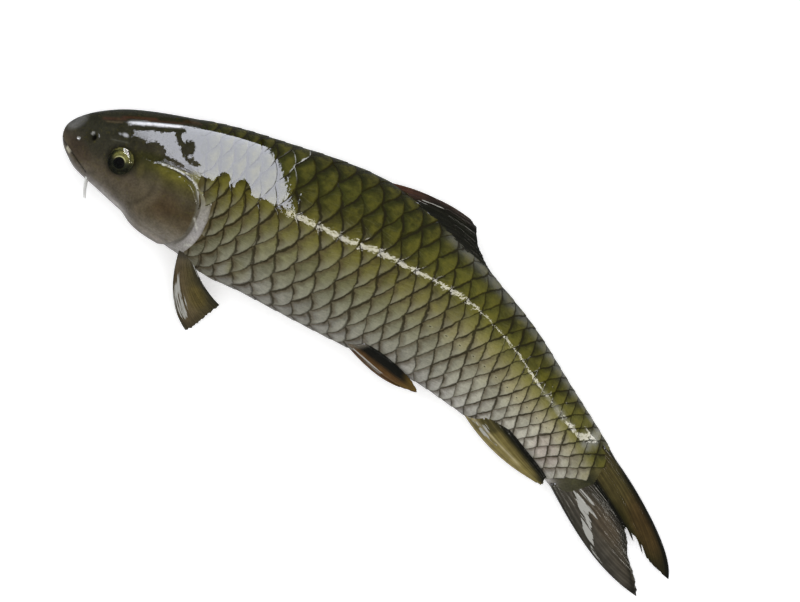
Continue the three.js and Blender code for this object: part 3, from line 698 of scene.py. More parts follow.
def head_features(s, n, girth):
    """How far the head's features stand out of it, its colours with painted highlights and painted shade, and
    where its skin is dry.
    """
    radius = gill_radius(s, n)
    rear = smooth((s - (GILL_COVER["s"] - CHEEK_FADE)) / CHEEK_FADE)
    plate = smooth((1 - radius) / GILL_EDGE) * rear
    slit = hump(radius - 1.012, 0.02) * rear * smooth((s - 56) / 6)
    band = smooth((radius - 1.01) / 0.03) * (1 - smooth((radius - 1.2) / 0.08)) * smooth((s - 78) / 8)
    high = smooth((n + 8) / 10)
    relief = GILL_COVER["raised"] * plate + 0.4 * (1 - high) * band

    # the cheek's own plates show as shallow grooves
    cheek = hump(np.hypot(s - 44, n + 8) - 19, 1.1) * smooth((s - 46) / 8) * smooth((4 - n) / 8)
    fold = streak(s, n, (50, -30), (86, -36.5), 0.8)
    relief = relief - 0.2 * cheek - 0.2 * fold

    # the eye's socket: sunk under the eye, then a soft low rim, with a fold above
    reach = np.hypot(s - EYE["s"], n - EYE["n"])
    lid = streak(s, n, (27, 6), (39, 8.2), 0.45)
    relief = relief - 2.2 * (1 - smooth((reach - 6.4) / 0.9)) + 0.25 * hump(reach - 9.8, 1.6) + 0.15 * lid

    # nostrils with raised rims, the front one a short tube
    pits = np.zeros_like(s)
    for at_s, at_n, size in NOSTRILS:
        away = np.hypot(s - at_s, (n - at_n) * 0.8)
        pit = 1 - smooth((away - size * 0.5) / (size * 0.6))
        relief = relief + 0.45 * hump(away - size * 1.35, 0.55) - 1.4 * pit
        pits = np.maximum(pits, pit)

    # the mouth: a slit between an upper and a lower lip
    beside, share = along_line(s, n, MOUTH_FRONT, MOUTH_CORNER)
    shut = smooth((1.02 - share) / 0.08)
    mouth = hump(beside, 0.45) * shut
    relief = relief - 1.1 * mouth + 0.35 * (hump(beside - 1.6, 0.9) + hump(beside + 1.5, 0.9)) * shut

    # the edge of the skull's flat top
    brow = streak(s, n, (26, 17), (70, 32), 1.3)
    relief = relief + 0.4 * brow

    low = smooth((girth - 0.82) / 0.14)
    paint = graded(girth, [(0, "#26261a"), (0.2, "#2c2c1f"), (0.38, "#38352a"), (0.55, "#494236"),
                           (0.7, "#544b3c"), (0.8, "#5c5549"), (0.88, "#77716a"), (1, "#c0bbb7")])
    paint = layered(
        paint,
        (0.7 * spot(s, n, (27, 5), (20, 13), 12), "#2f2f24"),
        (0.85 * spot(s, n, (55, 2.5), (13, 6), 8), "#313118"),
        (0.5 * spot(s, n, (51, -1), (8, 6)), "#35331c"),
        # a pale grey patch on the snout, painted reflection
        (0.5 * spot(s, n, (3.6, 9), (4.4, 7), -35), "#878786"),
        (0.5 * spot(s, n, (12, -7), (9, 5), -30), "#3d3026"),
        (0.35 * spot(s, n, (52, -4.5), (2.2, 4.6), 12), "#7d7142"),
        (0.6 * streak(s, n, (17, 15.4), (33, 21), 1.0), "#54372a"),
        (0.45 * streak(s, n, (20, 14.5), (31, 18.3), 0.5), "#75654c"),
        (0.6 * streak(s, n, (27, 20.4), (50, 28.4), 0.8), "#543428"),
        (0.6 * streak(s, n, (40, 23.6), (66, 32.2), 0.8), "#472e23"),
        (0.6 * streak(s, n, (62, 32.4), (86, 39.4), 1.2), "#45301f"),
        # the thin white line along the edge of the skull's top, painted highlight
        (0.75 * streak(s, n, (32, 18.8), (66, 30), 0.8), "#dcdcde"),
        (low * smooth((s - 16) / 20), "#b9b4af"),
        # a pale yellow line along the top of the gill cover, painted highlight
        (0.7 * streak(s, n, (60, 4.4), (84, 5), 0.5), "#c2bf98"),
        (plate, graded(n, [(-44, "#b3aea9"), (-38, "#979088"), (-32, "#766f62"), (-26, "#5a503e"),
                           (-19, "#483d29"), (-10, "#494231"), (-4, "#504a29"), (0, "#625d26"),
                           (3, "#605c28"), (6, "#59572a")])),
        (0.15 * plate * spot(s, n, (72, -17), (9, 8)), "#563b28"),
        (0.6 * spot(s, n, (60, -13), (8, 10)), "#625947"),
        (0.45 * spot(s, n, (56, -3.5), (9, 6)), "#33311c"),
        (0.5 * hump(radius - 0.965, 0.025) * rear * smooth((s - 78) / 6), "#77756a"),
        (0.8 * spot(s, n, (87, 3), (6, 6)), "#5f5a28"),
        (0.9 * band, graded(n, [(-40, "#a39f99"), (-25, "#a7a3a1"), (-10, "#928e84"), (0, "#7c7848")])),
        # white streaks behind the gill cover and at the pectoral fin's root, painted glints
        (0.8 * streak(s, n, (84.5, 2.5), (92, -8), 0.5) + 0.7 * streak(s, n, (81, 4), (88, -1), 0.5)
         + 0.6 * streak(s, n, (92, -17), (97, -24), 0.6)
         + 0.7 * streak(s, n, (92, -34.5), (98, -33), 0.6), "#d2d0c4"),
        # the cheek's grooves and the gill fold painted darker, painted shade
        (0.35 * cheek + 0.25 * fold, "#2e281d"),
        # a grey line in the gill slit, painted shade
        (0.5 * slit, "#6f6c64"),
        # the mouth's slit painted nearly black, painted shade
        (0.9 * mouth, "#15100c"),
        # a pale spot on the lip, painted highlight
        (0.9 * spot(s, n, (5.6, -9.2), (2.6, 0.8), -45), "#b5b09d"),
        (0.94 * (1 - smooth((reach - 6.8) / 5.2)), "#12110b"),
        # a paler line along the fold over the eye, painted glint
        (0.6 * lid, "#55554b"),
        # two small pale spots above the eye, painted highlights
        (0.9 * spot(s, n, (34.9, 11.7), (1.9, 1.1)) + 0.6 * spot(s, n, (31.6, 11.2), (1, 0.6)), "#b5b6ba"),
        # the nostrils' pits painted nearly black, painted shade
        (0.95 * pits, "#0d0c09"),
        # pale spots on the nostrils, painted highlights
        (0.9 * spot(s, n, (9.4, -0.8), (0.9, 0.9)) + 0.6 * spot(s, n, (16.2, 5.2), (1.2, 0.7), 60),
         "#c4c4c0"),
        (smooth((s - 366) / 12), graded(n, [(-20, "#4a483c"), (-6, "#45432f"), (2, "#2e2e1f"), (8, "#565030"),
                                            (16, "#49442a"), (20, "#3a3a34")])),
    )
    dry = np.maximum.reduce([
        streak(s, n, (30, 15), (69, 28.8), 1.7),
        streak(s, n, (28, 20.9), (70, 35.3), 1.6),
        spot(s, n, (33.5, 13.8), (5.4, 4.4), 20),
        0.85 * spot(s, n, (43, 8.5), (10, 5), 8),
        spot(s, n, (54.5, 9), (7.6, 6)),
        0.95 * streak(s, n, (61.5, 28.5), (68, 18), 2.0),
        0.82 * spot(s, n, (72.5, 19), (4.6, 5.4)),
        0.95 * hump(radius - 0.935, 0.065) * rear * high,
        spot(s, n, (45.6, 3), (3.8, 5)),
        spot(s, n, (16.2, 3), (4, 4)),
        spot(s, n, (13, -13.6), (3.4, 2)),
        0.8 * streak(s, n, (61, 9), (76, 8), 1.6),
        0.75 * streak(s, n, (72, 13), (90, 11), 2.0),
    ])
    return relief, {"paint": paint, "dry": dry}


def scales_begin(girth):
    """s where the scales begin, for shares of the girth."""
    return np.interp(girth, *np.array(SCALES_BEGIN, float).T)


def scales_end(girth):
    """s where the scales end, for shares of the girth."""
    return np.interp(girth, *np.array(SCALES_END, float).T)


def build_skin():
    """The whole body's skin, with the head's features, sunk a little under the scales."""
    stations = skin_stations()
    turn = np.arange(AROUND) / AROUND
    side = np.where(turn < 0.5, 1.0, -1.0)
    girth = np.where(turn < 0.5, 2 * turn, 2 - 2 * turn)
    n, half = np.array([flank(s, girth) for s in stations]).transpose(1, 0, 2)
    s = np.repeat(stations[:, None], AROUND, axis=1)
    # the body thins out inside the tail fin
    half = half * (1 - 0.75 * smooth((s - 380) / 11))
    points = place(s, n, middle_height(s) + side * half)
    out = outwards(np.concatenate([points[:, -1:], points, points[:, :1]], axis=1))[:, 1:-1]
    girth = np.broadcast_to(girth, s.shape)
    relief, attributes = head_features(s, n, girth)
    # the features fade out behind the head and where the body is thin
    relief = relief * smooth((HEAD_LENGTH - s) / 6) * np.minimum(1, half / 3)
    # the scales' bed is sunk, and painted dark: partly the skin's own pigment, partly painted shade in the
    # gaps between the scales
    bed = smooth((s - scales_begin(girth) - 2.5) / 4) * (1 - smooth((s - scales_end(girth) + 8) / 4))
    attributes["paint"] = layered(attributes["paint"], (0.9 * bed, "#242210"))
    points = points + out * ((relief - SCALE_BED * bed) * MM)[..., None]
    points[..., 2] = np.maximum(points[..., 2], 0.0)
    first = place(SNOUT, SNOUT_HEIGHT, middle_height(SNOUT))
    last = place(BODY_END, 0, middle_height(BODY_END))
    attributes = {key: np.vstack([value.reshape(s.size, -1), value[0].reshape(AROUND, -1).mean(0),
                                  value[-1].reshape(AROUND, -1).mean(0)])
                  for key, value in attributes.items()}
    faces = capped_faces(len(stations), AROUND)
    piece = new_piece("skin", np.vstack([points.reshape(-1, 3), [first], [last]]), faces, attributes)
    return finish_piece(piece, skin_material())


# ---- the scales ------------------------------------------------------------------------------

LATTICE_MARGIN = 2.5            # spacings by which the guide sheet reaches past the scales
LATTICE_FINENESS = 6            # guide points to one scale's spacing
SCALE_FLOOR = 0.9               # the lowest that a scale's bed lies
SCALE_CROWN = 0.14              # how much higher a scale's middle is than its sides
SCALE_SKIRT = 0.6               # how far its edge reaches down
SCALE_REACH = 1.1               # how far it spreads to each side, in spacings
SCALE_POINTS = 13               # points across it
SPACING_STEP = 0.5              # millimetres between the places where the spacing is added up


def flank_features(s, n, girth, settings):
    """The scales' colours over the flank with painted reflections and sheen, where they stand dry and where
    their rims get painted glints.
    """
    body = graded(girth, [(0, "#282811"), (0.12, settings.back_colour), (0.24, "#393b15"), (0.36, "#3f3e17"),
                          (0.48, "#5d5826"), (0.56, settings.flank_colour), (0.66, "#6b6a4e"),
                          (0.76, "#757462"), (0.86, "#807e75"), (1, settings.belly_colour)])
    paint = layered(
        body,
        (smooth((s - 195) / 150), graded(girth, STERN_PAINT)),
        # a grey band along the ridge of the back towards the tail, painted reflection
        (smooth((0.1 - girth) / 0.06) * smooth((s - 290) / 30), "#77766d"),
        (0.6 * smooth((s - 360) / 16) * smooth((n + 10) / 10), "#4c4a28"),
        (0.5 * spot(s, n, (349, 16.5), (13, 6)), "#7d7a45"),
        # a broken pale line along the flank near the tail, painted reflection
        (0.6 * streak(s, n, (324, 13.4), (341, 12.8), 0.7) + 0.55 * spot(s, n, (342, 12.4), (4.4, 2.2))
         + 0.5 * spot(s, n, (351, 12.2), (4.4, 1.2)), "#b4b2a6"),
        (0.3 * spot(s, n, (256, 22), (36, 10), -8), "#6b682c"),
        (0.25 * smooth((s - 320) / 25) * smooth((10 - n) / 8), "#c4bfb2"),
        (0.7 * smooth((128 - s) / 25) * smooth((4 - n) / 8), "#504d35"),
        (0.3 * spot(s, n, (150, -22), (24, 10)), "#646043"),
        (0.4 * streak(s, n, (88, 7), (205, 6), 5), "#5f5a22"),
        (0.6 * spot(s, n, (127, -36), (6, 6)), "#5f5a2a"),
        # grey bands along the top of the back, painted reflection
        (0.7 * streak(s, n, (222, 42), (290, 33.4), 3)
         + 0.6 * streak(s, n, (280, 35), (345, 25.4), 2.2), "#77776f"),
        # a pale grey band along the top edge near the tail, painted reflection
        (0.7 * streak(s, n, (352, 26.5), (388, 24), 1.8), "#a3a39d"),
        (0.6 * spot(s, n, (354, -9), (11, 7), -10), "#a0928b"),
        # a pale grey patch near the tail, painted sheen
        (0.6 * spot(s, n, (366, 16), (4, 7)), "#b0b0a8"),
    )
    dry = np.maximum.reduce([
        *(spot(s, np.maximum(n, top), (at, top), (wide, 6)) for at, top, wide in DRY_BANDS),
        spot(s, n, (112, 39.4), (1.8, 2.6)),
        spot(s, n, (80, 12), (4, 1.4)),
        0.72 * spot(s, n, (350, 17.4), (11.8, 4.9)),
        0.8 * streak(s, n, (311, 20.6), (344, 16.6), 2.8),
    ])
    return {
        "paint": paint,
        "dry": dry,
        "glint": spot(s, n, (146, 38.5), (17, 8), 14),
        "deep": np.maximum(spot(s, n, (98, 25), (42, 17), 4), 0.8 * smooth((s - 285) / 30)),
        "pored": smooth((s - 235) / 25) * (1 - smooth((s - 345) / 10)),
        "pointed": smooth((s - 170) / 130),
    }


def guide_sheet(settings):
    """A sheet over the whole body, unrolled in its UV map with one unit to a scale each way."""
    # the columns' places, from the spacing added up to well past the body's end
    s_table = np.arange(FIRST_COLUMN, BODY_END + 40, SPACING_STEP)
    spacings = SPACING_STEP / scale_pitch(s_table[:-1] + SPACING_STEP / 2)
    column_table = np.concatenate(([0], np.cumsum(spacings)))
    count = int(np.interp(BODY_END, s_table, column_table))
    step = 1 / LATTICE_FINENESS
    columns = np.arange(-LATTICE_MARGIN, count + LATTICE_MARGIN + 1e-6, step)
    rows = np.arange(-ROWS_A_SIDE - LATTICE_MARGIN, ROWS_A_SIDE + LATTICE_MARGIN + 1e-6, step)
    turned = (rows + ROWS_A_SIDE) % (2 * ROWS_A_SIDE) - ROWS_A_SIDE
    side = np.where(turned >= 0, 1.0, -1.0)
    stations = np.interp(columns, column_table, s_table)
    stations = np.where(columns < 0, s_table[0] + columns * scale_pitch(s_table[0]), stations)[:, None]
    lean = np.interp(stations, *np.array(ROW_LEAN, float).T)
    stations = stations + lean * np.maximum(np.abs(turned) - LEANS_BELOW, 0)
    stations = np.minimum(stations, BODY_END - 0.5)
    share = np.abs(turned) / ROWS_A_SIDE
    line_share = SIDE_LINE_ROW / ROWS_A_SIDE
    # towards the tail the uppermost rows run out at the ridge of the back
    lost = np.interp(stations, *np.array(ROWS_LOST, float).T) / ROWS_A_SIDE
    spread = np.maximum(share - lost, 0) / (line_share - lost) * line_share
    runs_out = share < lost - 0.06
    share = np.where(share < line_share, 0.97 * spread + 0.03 * share, share)
    sway = (side_line(stations) - line_share) / (line_share ** 1.5 * (1 - line_share))
    girths = share + sway * share ** 1.5 * (1 - share)
    n, half = flank_table()(stations, girths)
    points = place(stations, n, np.maximum(middle_height(stations) + side * half, SCALE_FLOOR))
    scaled = (stations > scales_begin(girths)) & (stations < scales_end(girths)) & ~runs_out
    uv = np.stack(np.meshgrid(columns, rows, indexing="ij"), -1).reshape(-1, 2)
    span = np.array([count + 2 * LATTICE_MARGIN, 2 * (ROWS_A_SIDE + LATTICE_MARGIN)])
    uv = (uv + [LATTICE_MARGIN, ROWS_A_SIDE + LATTICE_MARGIN]) / span
    attributes = {"scaled": scaled, "girth": girths, "out": outwards(points),
                  **flank_features(stations, n, girths, settings)}
    faces = grid_faces(len(columns), len(rows))
    guide = new_piece("scale_guide", points.reshape(-1, 3), faces, attributes, uv)
    return guide, count, span


def one_scale(settings):
    """One scale in lattice units: x behind its tip, y across its row, z its height in metres."""
    across = np.linspace(-SCALE_REACH, SCALE_REACH, SCALE_POINTS)
    rear = -EDGE_REACH * np.abs(across) ** EDGE_ROUND
    rows = []
    for x in (SCALE_ROOT, -0.8, -0.35, -0.06):
        at = x + (rear if x > -1 else rear * 0.3)
        crown = SCALE_CROWN * (1 - across ** 2) * smooth((x - SCALE_ROOT) / 0.6)
        rows.append(np.stack([at, across, settings.scale_lift * (1.05 + at) + crown], -1))
    # a rounded rear edge, with a skirt down from it
    edge = rows[-1] + (0.06, 0, -0.05)
    rows += [edge, edge + (0.01, 0, -SCALE_SKIRT)]
    points = np.stack(rows)
    uv = points[..., :2].reshape(-1, 2).copy()
    points[..., 2] *= MM
    return new_piece("one_scale", points.reshape(-1, 3), grid_faces(len(rows), len(across)), uv=uv)


def scale_tree(span):
    """Geometry Nodes: lays scales out on the unrolled body, then wraps them onto it."""
    tree = bpy.data.node_groups.new("lay_scales", "GeometryNodeTree")
    tree.interface.new_socket("Geometry", in_out="OUTPUT", socket_type="NodeSocketGeometry")
    for name, kind in (("Guide", "Object"), ("Scale", "Object"), ("Columns", "Int"), ("Rows", "Int"),
                       ("Side Line Row", "Int"), ("Unevenness", "Float"), ("Seed", "Int"),
                       ("Material", "Material")):
        tree.interface.new_socket(name, in_out="INPUT", socket_type="NodeSocket" + kind)
    given = tree.nodes.new("NodeGroupInput").outputs
    guide = add(tree, "GeometryNodeObjectInfo", {"Object": given["Guide"]}, out="Geometry")
    plate = add(tree, "GeometryNodeObjectInfo", {"Object": given["Scale"]}, out="Geometry")

    # a grid of points, every second row moved on by half a scale
    along_count = add(tree, "ShaderNodeMath", [given["Columns"], 1.0], operation="ADD")
    across_count = add(tree, "ShaderNodeMath", [given["Rows"], 1.0], operation="ADD")
    grid = add(tree, "GeometryNodeMeshGrid", {"Size X": given["Columns"], "Size Y": given["Rows"],
                                              "Vertices X": along_count, "Vertices Y": across_count})
    here = add(tree, "GeometryNodeInputPosition")
    across = add(tree, "ShaderNodeSeparateXYZ", [here], out="Y")
    row = add(tree, "ShaderNodeMath", [across], operation="ROUND")
    odd = add(tree, "ShaderNodeMath", [row, given["Rows"]], operation="ADD")
    odd = add(tree, "ShaderNodeMath", [odd, 2.0], operation="MODULO")
    along = add(tree, "ShaderNodeSeparateXYZ", [here], out="X")
    column = add(tree, "ShaderNodeMath", [given["Columns"], 0.5, along], operation="MULTIPLY_ADD")
    column = add(tree, "ShaderNodeMath", [odd, 0.5, column], operation="MULTIPLY_ADD")
    # the scales are laid less evenly behind the head
    stray = add(tree, "FunctionNodeRandomValue",
                {"Min": (-1, -1, 0), "Max": (1, 1, 0), "Seed": given["Seed"]}, data_type="FLOAT_VECTOR")
    loose = add(tree, "ShaderNodeMapRange", [column, 2.0, 11.0, 2.6, 1.0])
    loose = add(tree, "ShaderNodeMath", [loose, given["Unevenness"]], operation="MULTIPLY")
    stray = add(tree, "ShaderNodeVectorMath", {0: stray, "Scale": loose}, operation="SCALE")
    places = add(tree, "ShaderNodeCombineXYZ", [column, row])
    places = add(tree, "ShaderNodeVectorMath", [places, stray], operation="ADD")
    points = add(tree, "GeometryNodeSetPosition", {"Geometry": grid, "Position": places})

    def on_guide(name, kind):
        """The guide's own value below the point being worked on."""
        below = add(tree, "GeometryNodeInputPosition")
        shift = (LATTICE_MARGIN, ROWS_A_SIDE + LATTICE_MARGIN, 0)
        below = add(tree, "ShaderNodeVectorMath", [below, shift], operation="ADD")
        shrink = (1 / span[0], 1 / span[1], 0)
        below = add(tree, "ShaderNodeVectorMath", [below, shrink], operation="MULTIPLY")
        unrolled = add(tree, "GeometryNodeInputNamedAttribute", {"Name": "UVMap"}, data_type="FLOAT_VECTOR")
        if name == "position":
            value = add(tree, "GeometryNodeInputPosition")
        else:
            value = add(tree, "GeometryNodeInputNamedAttribute", {"Name": name}, data_type=kind)
        return add(tree, "GeometryNodeSampleUVSurface",
                   {"Mesh": guide, "Value": value, "Source UV Map": unrolled, "Sample UV": below},
                   data_type=kind)

    # no scales where the body is bare, nor twice along the seam
    scaled = on_guide("scaled", "FLOAT")
    bare = add(tree, "FunctionNodeCompare", {"A": scaled, "B": 0.5}, operation="LESS_THAN")
    seam = add(tree, "ShaderNodeMath", [given["Rows"], -0.5, 0.5], operation="MULTIPLY_ADD")
    seam = add(tree, "FunctionNodeCompare", {"A": row, "B": seam}, operation="LESS_THAN")
    unwanted = add(tree, "FunctionNodeBooleanMath", [bare, seam], operation="OR")
    kept = add(tree, "GeometryNodeDeleteGeometry", {"Geometry": points, "Selection": unwanted})

    seeds = [add(tree, "ShaderNodeMath", [given["Seed"], k], operation="ADD") for k in (3.0, 5.0, 7.0)]
    tilt = add(tree, "FunctionNodeRandomValue",
               {"Min": (0, 0, -0.035), "Max": (0, 0, 0.035), "Seed": seeds[0]}, data_type="FLOAT_VECTOR")
    size, tone = (
        add(tree, "FunctionNodeRandomValue", {2: low, 3: high, "Seed": seed}, out=1, data_type="FLOAT")
        for low, high, seed in ((0.97, 1.05, seeds[1]), (0.0, 1.0, seeds[2])))
    rank = add(tree, "ShaderNodeMath", [row], operation="ABSOLUTE")
    pore = add(tree, "ShaderNodeMath", [rank, given["Side Line Row"], 0.1], operation="COMPARE")
    pore = add(tree, "ShaderNodeMath", [pore, on_guide("pored", "FLOAT")], operation="MULTIPLY")
    laid = add(tree, "GeometryNodeInstanceOnPoints", {"Points": kept, "Instance": plate, "Rotation": tilt,
                                                      "Scale": size})
    for name, value in (("tone", tone), ("pore", pore)):
        laid = add(tree, "GeometryNodeStoreNamedAttribute", {"Geometry": laid, "Name": name, "Value": value},
                   data_type="FLOAT", domain="INSTANCE")
    flat = add(tree, "GeometryNodeRealizeInstances", {"Geometry": laid})
    # towards the tail the scales' rear edges are straighter
    own = add(tree, "GeometryNodeInputNamedAttribute", {"Name": "UVMap"}, data_type="FLOAT_VECTOR")
    beside = add(tree, "ShaderNodeSeparateXYZ", [own], out="Y")
    beside = add(tree, "ShaderNodeMath", [beside], operation="ABSOLUTE")
    arc = add(tree, "ShaderNodeMath", [beside, EDGE_ROUND], operation="POWER")
    wedge = add(tree, "ShaderNodeMath", [beside, EDGE_ROUND_ASTERN], operation="POWER")
    back_by = add(tree, "ShaderNodeMath", [arc, wedge], operation="SUBTRACT")
    back_by = add(tree, "ShaderNodeMath", [back_by, EDGE_REACH], operation="MULTIPLY")
    back_by = add(tree, "ShaderNodeMath", [back_by, on_guide("pointed", "FLOAT")], operation="MULTIPLY")
    back_by = add(tree, "ShaderNodeCombineXYZ", [back_by])
    flat = add(tree, "GeometryNodeSetPosition", {"Geometry": flat, "Offset": back_by})
    for name, source, kind in (("girth", "girth", "FLOAT"), ("glint", "glint", "FLOAT"),
                               ("dry", "dry", "FLOAT"), ("deep", "deep", "FLOAT"),
                               ("film", "out", "FLOAT_VECTOR"), ("paint", "paint", "FLOAT_COLOR")):
        flat = add(tree, "GeometryNodeStoreNamedAttribute",
                   {"Geometry": flat, "Name": name, "Value": on_guide(source, kind)},
                   data_type=kind, domain="POINT")

    # wrapped onto the body: the guide's place, and the scale's own height straight out of it
    height = add(tree, "ShaderNodeSeparateXYZ", [add(tree, "GeometryNodeInputPosition")], out="Z")
    lift = add(tree, "ShaderNodeVectorMath", {0: on_guide("out", "FLOAT_VECTOR"), "Scale": height},
               operation="SCALE")
    goal = add(tree, "ShaderNodeVectorMath", [on_guide("position", "FLOAT_VECTOR"), lift], operation="ADD")
    wrapped = add(tree, "GeometryNodeSetPosition", {"Geometry": flat, "Position": goal})
    rounded = add(tree, "GeometryNodeSetShadeSmooth", {"Geometry": wrapped})
    painted = add(tree, "GeometryNodeSetMaterial", {"Geometry": rounded, "Material": given["Material"]})
    add(tree, "NodeGroupOutput", [painted])
    return tree


def build_scales(settings):
    """All the scales as one piece."""
    guide, count, span = guide_sheet(settings)
    plate = one_scale(settings)
    material = scale_material(settings)
    carrier = new_piece("scales", [(0, 0, 0)], [])
    modifier = carrier.modifiers.new("lay_scales", "NODES")
    modifier.node_group = scale_tree(span)
    values = {"Guide": guide, "Scale": plate, "Columns": count, "Rows": 2 * ROWS_A_SIDE,
              "Side Line Row": SIDE_LINE_ROW, "Unevenness": settings.scale_unevenness, "Seed": settings.seed,
              "Material": material}
    for item in modifier.node_group.interface.items_tree:
        if item.in_out == "INPUT":
            modifier[item.identifier] = values[item.name]
    carrier.update_tag()
    bpy.context.view_layer.update()
    evaluated = carrier.evaluated_get(bpy.context.evaluated_depsgraph_get())
    mesh = bpy.data.meshes.new_from_object(evaluated)
    if not mesh.polygons:
        raise RuntimeError("no scales were laid")
    carrier.modifiers.clear()
    carrier.data = mesh
    for helper in (guide, plate):
        bpy.data.objects.remove(helper)
    return finish_piece(carrier, material)


# ---- the fins --------------------------------------------------------------------------------

RAY_COLUMNS = 8                 # columns of points to one ray
FIN_STEPS = 36                  # steps from a fin's base to its free edge


def curve_through(places):
    """A centripetal Catmull-Rom curve through places, read by a share from 0 to 1."""
    p = np.array(places, float)
    p = np.vstack([2 * p[0] - p[1], p, 2 * p[-1] - p[-2]])

    def point(share):
        """The curve's points at one share or many."""
        x = np.atleast_1d(share) * (len(places) - 1)
        i = np.clip(np.floor(x).astype(int), 0, len(places) - 2)
        t = (x - i)[:, None]
        p0, p1, p2, p3 = (p[i + k] for k in range(4))
        d0, d1, d2 = (np.linalg.norm(b - a, axis=1, keepdims=True) ** 0.5
                      for a, b in ((p0, p1), (p1, p2), (p2, p3)))
        m1 = ((p1 - p0) / d0 - (p2 - p0) / (d0 + d1) + (p2 - p1) / d1) * d1
        m2 = ((p2 - p1) / d1 - (p3 - p1) / (d1 + d2) + (p3 - p2) / d2) * d1
        c2 = -3 * p1 + 3 * p2 - 2 * m1 - m2
        c3 = 2 * p1 - 2 * p2 + m1 + m2
        return p1 + m1 * t + c2 * t ** 2 + c3 * t ** 3

    return point


def build_fin(name, bases, bows, tips, root, rays, material, painter, pleat=0.4, fold=0.0, relief=0.35,
              ragged=0.02, frayed=(0, 0, 0), seed=1):
    """A fan of bony rays joined by thin skin, both faces modelled, closed all round.

    u runs from the leading ray to the last one and v from the base to the free edge. The painter
    gives the colours and the paleness at u, v, s and n. Frayed is two u and how much deeper the
    edge is torn between them.
    """
    rows, columns = rays * RAY_COLUMNS + 1, FIN_STEPS + 1
    u = np.linspace(0, 1, rows)
    v = np.linspace(0, 1, columns)[None, :]
    base, bow, tip = (curve_through(places)(u)[:, None, :] for places in (bases, bows, tips))
    rng = np.random.default_rng(seed)
    torn = np.interp(u * rays * 2, np.arange(rays * 2 + 1), rng.uniform(0, 1, rays * 2 + 1))
    start, end, deeper = frayed
    depth = (ragged + deeper * ((u > start) & (u < end))) * torn
    reach = 1 - depth[:, None] * smooth((v - 0.8) / 0.2)
    w = (v * reach)[..., None]
    middle = (1 - w) ** 2 * base + 2 * w * (1 - w) * bow + w ** 2 * tip

    # unevenly spaced rays are round ridges that fork towards the fin's edge
    spacing = np.concatenate(([0], np.cumsum(rng.uniform(0.55, 1.45, rays))))
    turn = 2 * np.pi * np.interp(u, spacing / spacing[-1], np.arange(rays + 1))[:, None]
    turn = turn + 0.5 * np.sin(3 * v + 9 * u[:, None])
    forked = smooth((v - 0.45) / 0.2)
    ray = (0.5 - 0.5 * np.cos(turn)) * (1 - forked) + (0.5 - 0.5 * np.cos(2 * turn)) * forked
    ray = ray ** 1.5
    lift = 0.5 * pleat * np.cos(turn) * v + fold * np.sin(9 * u[:, None] + 2.2 * v) * smooth(v * 1.6)
    half = root + (FIN_EDGE - root) * v ** 0.6
    bulk = half * (1 - relief + relief * ray)
    z = np.maximum(middle[..., 2] + lift, bulk)
    sheet = place(middle[..., 0], middle[..., 1], z)
    out = outwards(sheet)
    out = out * np.sign(out[..., 2:3] + 1e-9)
    top = sheet + out * (bulk * MM)[..., None]
    under = sheet - out * (bulk * MM)[..., None]
    under[..., 2] = np.maximum(under[..., 2], 0)
    uu, vv = np.broadcast_arrays(u[:, None], v)
    uv = np.stack([uu, vv], -1).reshape(-1, 2)
    paint, pale = painter(uu, vv, middle[..., 0], middle[..., 1])
    attributes = {"ray": np.tile(ray.ravel(), 2), "pale": np.tile(pale.ravel(), 2),
                  "paint": np.tile(paint.reshape(-1, 4), (2, 1))}
    piece = new_piece(name, np.vstack([top.reshape(-1, 3), under.reshape(-1, 3)]),
                      shell_faces(rows, columns), attributes, np.vstack([uv, uv]))
    turn_outwards(piece)
    return finish_piece(piece, material)


def mid(s, above=0.0):
    """The height of the body's middle at s, or a little above it."""
    return float(middle_height(s)) + above


# every painter takes u, v, s and n, and gives a fin's colours and how pale it is


def dorsal_paint(u, v, s, n):
    """Brown at the front and its base, else nearly black, with two fine pale streaks that are painted glints.
    """
    paint = graded(u, [(0, "#3f2c22"), (0.1, "#2c2520"), (0.28, "#17170f"), (0.8, "#1a1a13"), (1, "#26261d")])
    paint = layered(paint, (smooth((0.5 - v) / 0.4) * smooth((0.35 - u) / 0.3), "#4b3125"),
                    (0.5 * smooth((v - 0.8) / 0.2), "#101010"))
    # two fine pale streaks, painted glints
    pale = streak(s, n, (203, 47.8), (209.5, 49), 0.4) + streak(s, n, (204.5, 49.2), (218, 52.8), 0.35)
    return paint, 0.8 * pale


def anal_paint(u, v, s, n):
    """Straw yellow in front and nearly black behind."""
    paint = graded(u, [(0, "#9a8f68"), (0.12, "#80744a"), (0.4, "#7b7040"), (0.56, "#695e36"),
                       (0.68, "#2c2916"), (0.76, "#15140e"), (1, "#12120d")])
    paint = layered(paint, (0.8 * smooth((v - 0.82) / 0.15) * smooth((u - 0.3) / 0.2), "#1b1a12"),
                    (0.7 * spot(s, n, (319, -24), (8, 5), 30), "#33301d"),
                    (0.6 * streak(s, n, (306, -28), (352, -26), 0.8), "#b3a988"))
    # pale marks near the fin's root, painted glints
    pale = (0.5 * spot(s, n, (320, -27), (4.5, 3.2), -30) + 0.8 * streak(s, n, (316, -29), (334, -28.4), 0.5)
            + 0.6 * streak(s, n, (302, -30), (316, -28), 0.8))
    return paint, pale


